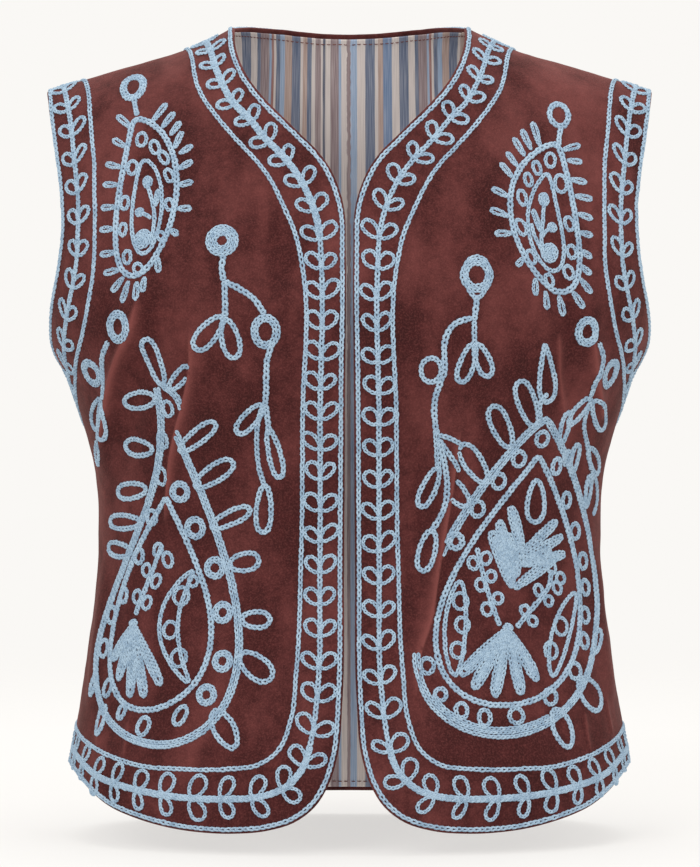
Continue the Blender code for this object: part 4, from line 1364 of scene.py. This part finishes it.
largeRight = {
    "outer": ((103.8, -245.0), (135.3, -471.6), 112.0, 2.94, -4.0, 24.0, 1.90, 0.059),
    "inner": ((137.5, -311.9), (141.3, -450.6), 79.4, 1.11, -10.8, -15.8, 1.33, -0.003),
    "neck": [(124.4, -238.9), (120.5, -243.0), (115.7, -245.9), (110.4, -257.5), (109.0, -262.0)],
    "tucked": [((119, -245), (104, -229), 11.0)],
    "leaves": [
        ((122, -242), (135, -211), 14.0), ((127.2, -249.1), (154.3, -252.9), 14.5),
        ((131, -282), (158, -281), 14.5), ((137, -308), (166, -311), 14.0),
        ((142, -330), (176, -330), 13.0), ((150, -350), (178, -347), 13.0),
        ((113.5, -284.5), (86.2, -264.6), 12.5), ((102.6, -306.8), (75, -289.8), 14.5),
        ((91.5, -333), (63.6, -320.2), 12.5), ((79, -357), (58, -353), 15.5),
        ((71, -391.4), (50.5, -391.6), 14.5), ((71, -413), (50.2, -429.0), 18.0),
    ],
    "pointed": [
        ((88.3, -448.7), (73.0, -473.0), 17.0), ((184, -428), (193, -446), 8.5),
        ((174, -448), (182, -470), 10.0),
    ],
    # middle, size across and up, lean, stitch
    "rings": [
        ((119.7, -256), 8.8, 14.0, 0, fineStitch), ((124.4, -276.4), 9.0, 14.4, 0, fineStitch),
        ((126.3, -299.8), 9.4, 14.8, 0, fineStitch), ((112.3, -309.7), 15.6, 15.4, 0, pairStitch),
        ((101.6, -333.1), 16.0, 16.0, 0, pairStitch), ((87.8, -358.8), 15.6, 15.8, 0, pairStitch),
        ((82.5, -387.2), 15.0, 15.8, 0, pairStitch), ((82.2, -418.1), 14.8, 15.6, 0, pairStitch),
        ((93.0, -439.6), 15.0, 15.6, 0, pairStitch), ((111.1, -453.1), 10.4, 17.8, 28, loopStitch),
        ((138.6, -460.8), 11.8, 16.4, 18, loopStitch), ((157.5, -452.5), 8.6, 14.6, 20, loopStitch),
        ((172.5, -438.0), 10.5, 16.4, 15, loopStitch), ((178, -413), 11.5, 15.5, 0, loopStitch),
        ((170.5, -391), 11.5, 15, 0, loopStitch), ((158.5, -378), 9.6, 14.0, 0, loopStitch),
        ((144.5, -352), 10.5, 14.0, 0, loopStitch), ((134.0, -326.5), 10.5, 14.0, 0, loopStitch),
    ],
    "sprig": [(125.8, -344.4), (131.2, -357.5), (139.1, -373.8), (147.1, -390.2)],
    "sprigLoops": [
        ((121.3, -354.0), 9.2, 13.6, -20), ((130.2, -368.0), 9.0, 12.6, 25),
        ((137.4, -382.0), 9.2, 12.0, 25), ((128.8, -347.6), 8.8, 11.6, 15), ((137.8, -361.0), 9.0, 11.6, 0),
        ((145.8, -378.4), 9.2, 12.0, 0),
    ],
    # knob, tips and width
    "fan": (
        (148.5, -395.8),
        [(168.4, -420.8), (162, -433.3), (150.3, -443.8), (138.3, -443.3), (125, -434.9)],
        8.4,
    ),
    # base, tip, width, bow, and its rings
    "pods": [
        ((102.0, -359.6), (104.8, -433.0), 17.0, 17.0,
         [((102.9, -367.5), 9.2), ((111.2, -377.2), 13.2), ((119.0, -399.0), 12.6), ((112.6, -416.7), 13.2)]),
    ],
    "dart": [
        (103.8, -202.7), (104.5, -231.4), (109.4, -251.8), (115.0, -269.7), (120.9, -295.6), (122.7, -315.2),
    ],
}
largeLeft = {
    "outer": ((121.4, -260.6), (90.4, -464.3), 134.9, 1.02, 21.0, 10.2, 0.74, -0.115),
    "inner": ((116.1, -283.8), (89.9, -445.5), 104.4, 1.01, 4.5, 10.5, 1.27, 0.132),
    "leaves": [
        ((124, -269), (110, -238), 15.5), ((106, -282), (92, -254), 15.5),
        ((89.8, -304.5), (72.5, -279.2), 15.5), ((77.6, -319.4), (61, -301), 15.0),
        ((143, -280), (149, -257), 10.5), ((154, -299), (159, -278), 10.5),
        ((171, -322), (175, -302), 10.5), ((177, -417), (186, -401), 10.5),
        ((159, -432.5), (182.5, -450.5), 22.0),
    ],
    "pointed": [((137.5, -449.0), (149.8, -475.4), 18.5)],
    # middle, size across and up, lean
    "rings": [
        ((128.6, -275.4), 12.4, 13.6, 0), ((111.8, -288.3), 12.4, 13.8, 0), ((97.8, -302.8), 12.0, 14.0, 0),
        ((83.4, -320.5), 12.0, 14.0, 0), ((140.6, -293.3), 9.6, 15.2, 0), ((150.0, -288.0), 10.2, 13.8, 0),
        ((150.0, -315.5), 10.2, 14.4, 0), ((158.5, -336.1), 12.2, 14.0, 0),
        ((166.5, -355.8), 12.2, 14.0, 0), ((169.5, -373.0), 11.8, 14.0, 0),
        ((168.5, -391.0), 12.2, 13.8, 0), ((166.6, -407.5), 11.8, 13.6, 0),
        ((156.4, -426.4), 14.2, 14.0, 0), ((134.8, -442.0), 13.4, 13.8, 0),
        ((109.2, -453.2), 13.6, 13.6, 0), ((87.3, -453.8), 10.6, 15.2, 0), ((72.0, -449.0), 11.0, 14.0, 0),
        ((58.4, -438.8), 11.2, 12.2, 0), ((49.8, -420.3), 12.4, 14.0, 0),
    ],
    "petals": [  # of the lily
        ((107.6, -373), (92.8, -334.5), 10.0), ((108.0, -371), (98.3, -327.5), 9.4),
        ((109.4, -367), (104.4, -336.0), 9.0), ((110.8, -366), (110.0, -341.0), 8.4),
        ((115.2, -349), (106.2, -318.6), 8.8), ((112.8, -350.5), (142.4, -328.4), 7.8),
        ((112.8, -353.1), (147.2, -339.0), 7.4), ((112.7, -357.2), (149.0, -350.6), 7.8),
        ((107.5, -372.9), (143.0, -350.6), 8.4), ((112.4, -357.6), (137.0, -347.6), 7.6),
    ],
    "sprig": [(83.0, -345.2), (86.4, -360.1), (91.4, -377.7), (98.5, -396.2)],
    "sprigLoops": [
        ((80.5, -355.6), 9.4, 11.6, 20), ((85.5, -369.6), 9.2, 11.4, 15), ((89.7, -385.2), 9.6, 11.4, 15),
        ((89.0, -352.6), 9.6, 11.6, -20), ((92.6, -364.2), 9.6, 10.4, -20),
        ((97.2, -378.4), 9.6, 10.4, -20),
    ],
    "secondSprig": [(136.4, -360.0), (135.5, -370.5), (128.8, -378.4), (118.3, -388.6), (110.0, -397.5)],
    "secondLoops": [
        ((136.8, -359.2), 8.8, 12.2, 10), ((126.6, -373.8), 8.8, 11.0, 15), ((116.2, -386.2), 9.2, 9.6, 0),
        ((144.4, -366.4), 10.2, 10.4, 60), ((141.6, -372.5), 9.0, 11.6, 25),
        ((134.4, -380.8), 9.4, 10.0, 30), ((121.9, -393.4), 9.0, 10.2, 30),
    ],
    "fan": ((103.8, -397.4), [(71, -427), (79.5, -436), (94, -441.5), (113, -440.5), (125.5, -432)], 9.2),
    "pods": [
        ((71.8, -366.0), (67.6, -428.0), 17.0, -1.5,
         [((71.8, -379.9), 12.4), ((73.0, -395.0), 11.8), ((69.7, -411.0), 11.8)]),
        ((158.7, -375.5), (136.5, -430.0), 17.5, -3.0, [((144.4, -397.3), 13.4), ((135.9, -412.6), 12.4)]),
    ],
    "dart": [(71.3, -276.2), (65.7, -317.4), (61.1, -343.8), (57.1, -366.9), (53.1, -391.7), (45.8, -413.1)],
}


leftShoulder = [
    ("ring", (146.1, -33.2), 17.0, 23.6, stemStitch),
    ("stem", vineStitch, (146.5, -43.5), (144.0, -52.3), (142.5, -62.6)),
]
leftSprays = [
    # hanging
    ("ring", (81.5, -170.6), 22.0, 23.4, loopStitch, 2, 2.6),
    ("loop", (81.5, -186.6), (81.6, -158.4), 19.0, loopStitch, 0.5),
    ("stem", stemStitch, (81.5, -183.8), (80.7, -193.2), (79.7, -200.3)),
    ("stem", vineStitch, (79.7, -199.3), (80.0, -206.9), (80.0, -215.4)),
    ("loop", (80.0, -213.4), (71.0, -240.0), 13.4, vineStitch),
    ("loop", (80.5, -213.4), (90.3, -236.0), 13.0, vineStitch),
    ("stem", stemStitch, (79.2, -198.5), (70.7, -200.1), (63.8, -205.4), (60.8, -213.0), (60.6, -223.6),
     (61.0, -232.7), (57.2, -241.8), (54.5, -250.9), (54.6, -261.5), (55.9, -272.2)),
    ("ring", (52.2, -231.5), 16.8, 20.0, vineStitch),
    ("chain", curve((55.6, -268.7), (56.8, -284.4), (57.3, -296.7)), pairStitch, pairRows),
    ("loop", (57.9, -292.6), (45.2, -320.0), 13.0, vineStitch, 0.5),
    ("stem", stemStitch, (57.5, -275.2), (61.5, -292.1), (63.1, -304.4), (62.7, -315.1), (59.5, -324.3),
     (52.7, -335.0)),
    ("loop", (53.8, -333), (46.5, -361), 14.5, vineStitch, 0.35),
    ("stem", vineStitch, (56.5, -272.7), (65.2, -275.2), (74.0, -280.4)),
    ("stem", vineStitch, (57.2, -275.6), (66.9, -289.0), (72.0, -297.2)),
    # under the armhole
    ("ring", (157.0, -206.0), 16.0, 20.5, loopStitch, 2, 2.0),
    ("stem", stemStitch, (165.0, -212.0), (172.0, -224.0), (167.0, -236.0), (166.0, -248.0)),
    ("ring", (182.8, -232.8), 18.5, 22.0, loopStitch, 2, 2.2),
    ("leaf", (167, -248), (148, -267), 12.0, vineStitch),
    ("loop", (168, -249), (185, -269), 14.5, vineStitch),
    ("stem", vineStitch, (165.0, -254.0), (163.0, -267.0), (170.0, -282.0), (176.0, -296.0)),
    ("loop", (170, -281), (188, -298), 13.5, vineStitch),
    ("stem", vineStitch, (176.0, -296.0), (186.0, -305.0), (190.0, -316.0), (182.0, -326.0)),
    ("loop", (171, -318), (176, -299), 11.0),
    # the bud over the large paisley
    ("stem", vineStitch, (126.5, -262.0), (126.0, -251.0), (131.5, -246.0)),
    ("loop", (127.0, -213), (132.0, -252), 16.0, vineStitch, 1.7),
]


def workLeftFront():
    needle = Needle("motifs_front_left", frontForm, "front_left", 1, 51)
    needle.work(leftShoulder)
    workPaisleySmall(needle, leftPaisley)
    needle.work(leftSprays)
    # the large paisley, whose side towards the opening goes under the dart
    needle.tuck = (largeLeft["dart"], 1)
    outer, inner = drop(*largeLeft["outer"]), drop(*largeLeft["inner"])
    needle.chain(outer, pairStitch, outlineRows)
    lengths = needle.lengths(outer)
    low = outer[(lengths > 0.44 * lengths[-1]) & (lengths < 0.62 * lengths[-1])]
    needle.chain(besideLine(low, -3.7), pairStitch)
    needle.chain(inner, stemStitch)
    workLeaves(needle, largeLeft)
    for place, across, up, tilt in largeLeft["rings"]:
        needle.ring(place, across, up, loopStitch, tilt=tilt)
    needle.ring((69.0, -341.4), 13.2, 14.8, stemStitch)
    needle.loop((125.3, -300.5), (124.6, -330.0), 17.5, vineStitch, 0.8)
    # the lily
    for base, tip, width in largeLeft["petals"]:
        needle.finger(base, tip, width, motif["petalTaper"])
    workSprig(needle, largeLeft["sprig"], largeLeft["sprigLoops"])
    workSprig(needle, largeLeft["secondSprig"], largeLeft["secondLoops"])
    workFan(needle, *largeLeft["fan"])
    for pod in largeLeft["pods"]:
        workPod(needle, *pod)
    return needle


thread = makeThread()
needles = [
    workFrontBorder("front_right", -1, 11, (19.2, -302.0)),
    workFrontBorder("front_left", 1, 21, (18.7, -307.0)),
    workBackBorder(),
    workRightFront(),
    workLeftFront(),
]
for needle in needles:
    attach(needle.sew(thread), "root")

# Running stitches that hold the lining to the turned edges.
topstitch = {
    "inset": 0.0068,
    "pitch": 0.0042,
    "stitch": 0.0027,
    "thickness": 0.00062,
    "depth": 0.0031,
    # along and round one stitch, in thicknesses
    "rise": [-0.5, 0.45, 0.75, 0.75, 0.45, -0.5],
    "section": [[-0.5, -0.1], [-0.3, 0.4], [0.3, 0.4], [0.5, -0.1]],
    "fromSeam": 8,  # millimetres left free beside a seam
    "body": colour(122, 66, 56),
    "shade": colour(84, 40, 36),
}


def makeSewingThread():
    cotton = Finish("sewing_thread")
    twist = cotton.noise(cotton.place(), 2400.0, 2.0, 0.6)
    base = cotton.mix(cotton.ramp(twist, 0.35, 0.65), topstitch["shade"], topstitch["body"])
    cotton.set(baseColor=base, roughness=0.72, normal=cotton.bump(twist, 0.4, 0.0004))
    return cotton.material


def openEdges(form, back):
    # each edge, short of the seams at its ends
    free = topstitch["fromSeam"]
    if back:
        rows = [(backHem, free, None), (backNeck, 0, -free), (backArmhole, free, -free)]
    else:
        rows = [(frontEdge, free, -free), (frontArmhole, free, -free)]
    for places, first, last in rows:
        line = evenly(edgePlaces(form, places), 0.0010)
        yield besideLine(line, -topstitch["inset"])[first:last]


def topstitchPiece(name, form, lines, material):
    # each stitch is a low half tube that dips into the cloth at both ends
    points, faces = [], []
    rise = np.array(topstitch["rise"]) * topstitch["thickness"]
    section = np.array(topstitch["section"]) * topstitch["thickness"]
    rings, sides = len(rise), len(section)
    size = rings * sides
    for line in lines:
        lengths = runLengths(line)
        for start in np.arange(0.0, lengths[-1] - topstitch["stitch"], topstitch["pitch"]):
            at = start + topstitch["stitch"] * np.linspace(0, 1, rings)
            spots, outs, _ = laidOut(form, name, between(line, lengths, at))
            ahead = np.gradient(spots, axis=0)
            sideways = np.cross(outs, ahead)
            sideways /= np.linalg.norm(sideways, axis=1, keepdims=True)
            depth = topstitch["depth"] + rise
            ring = (spots - outs * depth[:, None])[:, None]
            ring = ring + sideways[:, None] * section[:, 0, None] - outs[:, None] * section[:, 1, None]
            corner = np.arange(size).reshape(rings, sides) + len(points) * size
            points.append(ring.reshape(-1, 3))
            quads = [corner[:-1, :-1], corner[:-1, 1:], corner[1:, 1:], corner[1:, :-1]]
            faces.append(np.stack(quads, -1).reshape(-1, 4))
    return meshObject("topstitch_" + name, np.concatenate(points), np.concatenate(faces), material)


cotton = makeSewingThread()
frontLines = list(openEdges(frontForm, False))
backLines = list(openEdges(backForm, True))
for name, form, lines in (
    ("front_right", frontForm, [line * mirror for line in frontLines]),
    ("front_left", frontForm, frontLines),
    ("back", backForm, backLines + [line * mirror for line in backLines]),
):
    sewing = topstitchPiece(name, form, lines, cotton)
    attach(sewing, "root")
    print("topstitched:", name, len(sewing.data.polygons))

# The studio: a pale floor just under the hem, soft lights, and the view from the front.
studio = {
    "floorHeight": -0.5400,
    "floorRadius": 2.4,
    "floorFade": (2.2, 0.9),
    "floorColour": (0.30, 0.296, 0.29, 1.0),
    "viewHeight": -0.2720,
    "viewDistance": 2.40,
    "lens": 148.7,
    "backdrop": colour(250, 248, 245),
    "floorGlow": 0.62,
    "aim": (0, 0, -0.25),
    # name, place, breadth and power of each lamp
    "lamps": [
        ("key", (-1.3, -2.3, 1.1), 1.6, 34),
        ("fill", (1.6, -2.1, 0.5), 1.6, 20),
        ("top", (0.0, 0.4, 2.0), 2.0, 26),
    ],
}


def makeStage():
    stuff = Finish("floor")
    length = stuff.node("ShaderNodeVectorMath", {"operation": "LENGTH"}, {0: stuff.place()})["Value"]
    stuff.set(baseColor=studio["floorColour"], roughness=1.0, alpha=stuff.ramp(length, *studio["floorFade"]))
    # the glow keeps the shadow faint
    stuff.set(emissionColor=studio["backdrop"], emissionStrength=studio["floorGlow"])
    stuff.shine(0.0)
    place = (0, 0, studio["floorHeight"])
    radius = studio["floorRadius"]
    bpy.ops.mesh.primitive_circle_add(vertices=64, radius=radius, fill_type="NGON", location=place)
    floor = bpy.context.object
    floor.name = "floor"
    floor.data.materials.append(stuff.material)


def addSoftbox(name, place, breadth, power):
    lamp = bpy.data.lights.new(name, "AREA")
    lamp.shape = "RECTANGLE"
    lamp.size = lamp.size_y = breadth
    lamp.energy = power
    thing = bpy.data.objects.new(name, lamp)
    thing.location = place
    thing.rotation_euler = (Vector(studio["aim"]) - Vector(place)).to_track_quat("-Z", "Y").to_euler()
    bpy.context.scene.collection.objects.link(thing)


makeStage()
for lamp in studio["lamps"]:
    addSoftbox(*lamp)
world = bpy.data.worlds.new("studio")
bpy.context.scene.world = world
world.use_nodes = True
sky = world.node_tree.nodes["Background"]
sky.inputs["Color"].default_value = studio["backdrop"]
sky.inputs["Strength"].default_value = 1.0
view = bpy.data.cameras.new("view")
view.lens = studio["lens"]
view.sensor_width = 36.0
eye = bpy.data.objects.new("view", view)
eye.location = (0.0003, -studio["viewDistance"], studio["viewHeight"])
eye.rotation_euler = (np.pi / 2, 0, 0)
bpy.context.scene.collection.objects.link(eye)
bpy.context.scene.camera = eye
bpy.context.scene.view_settings.view_transform = "Standard"
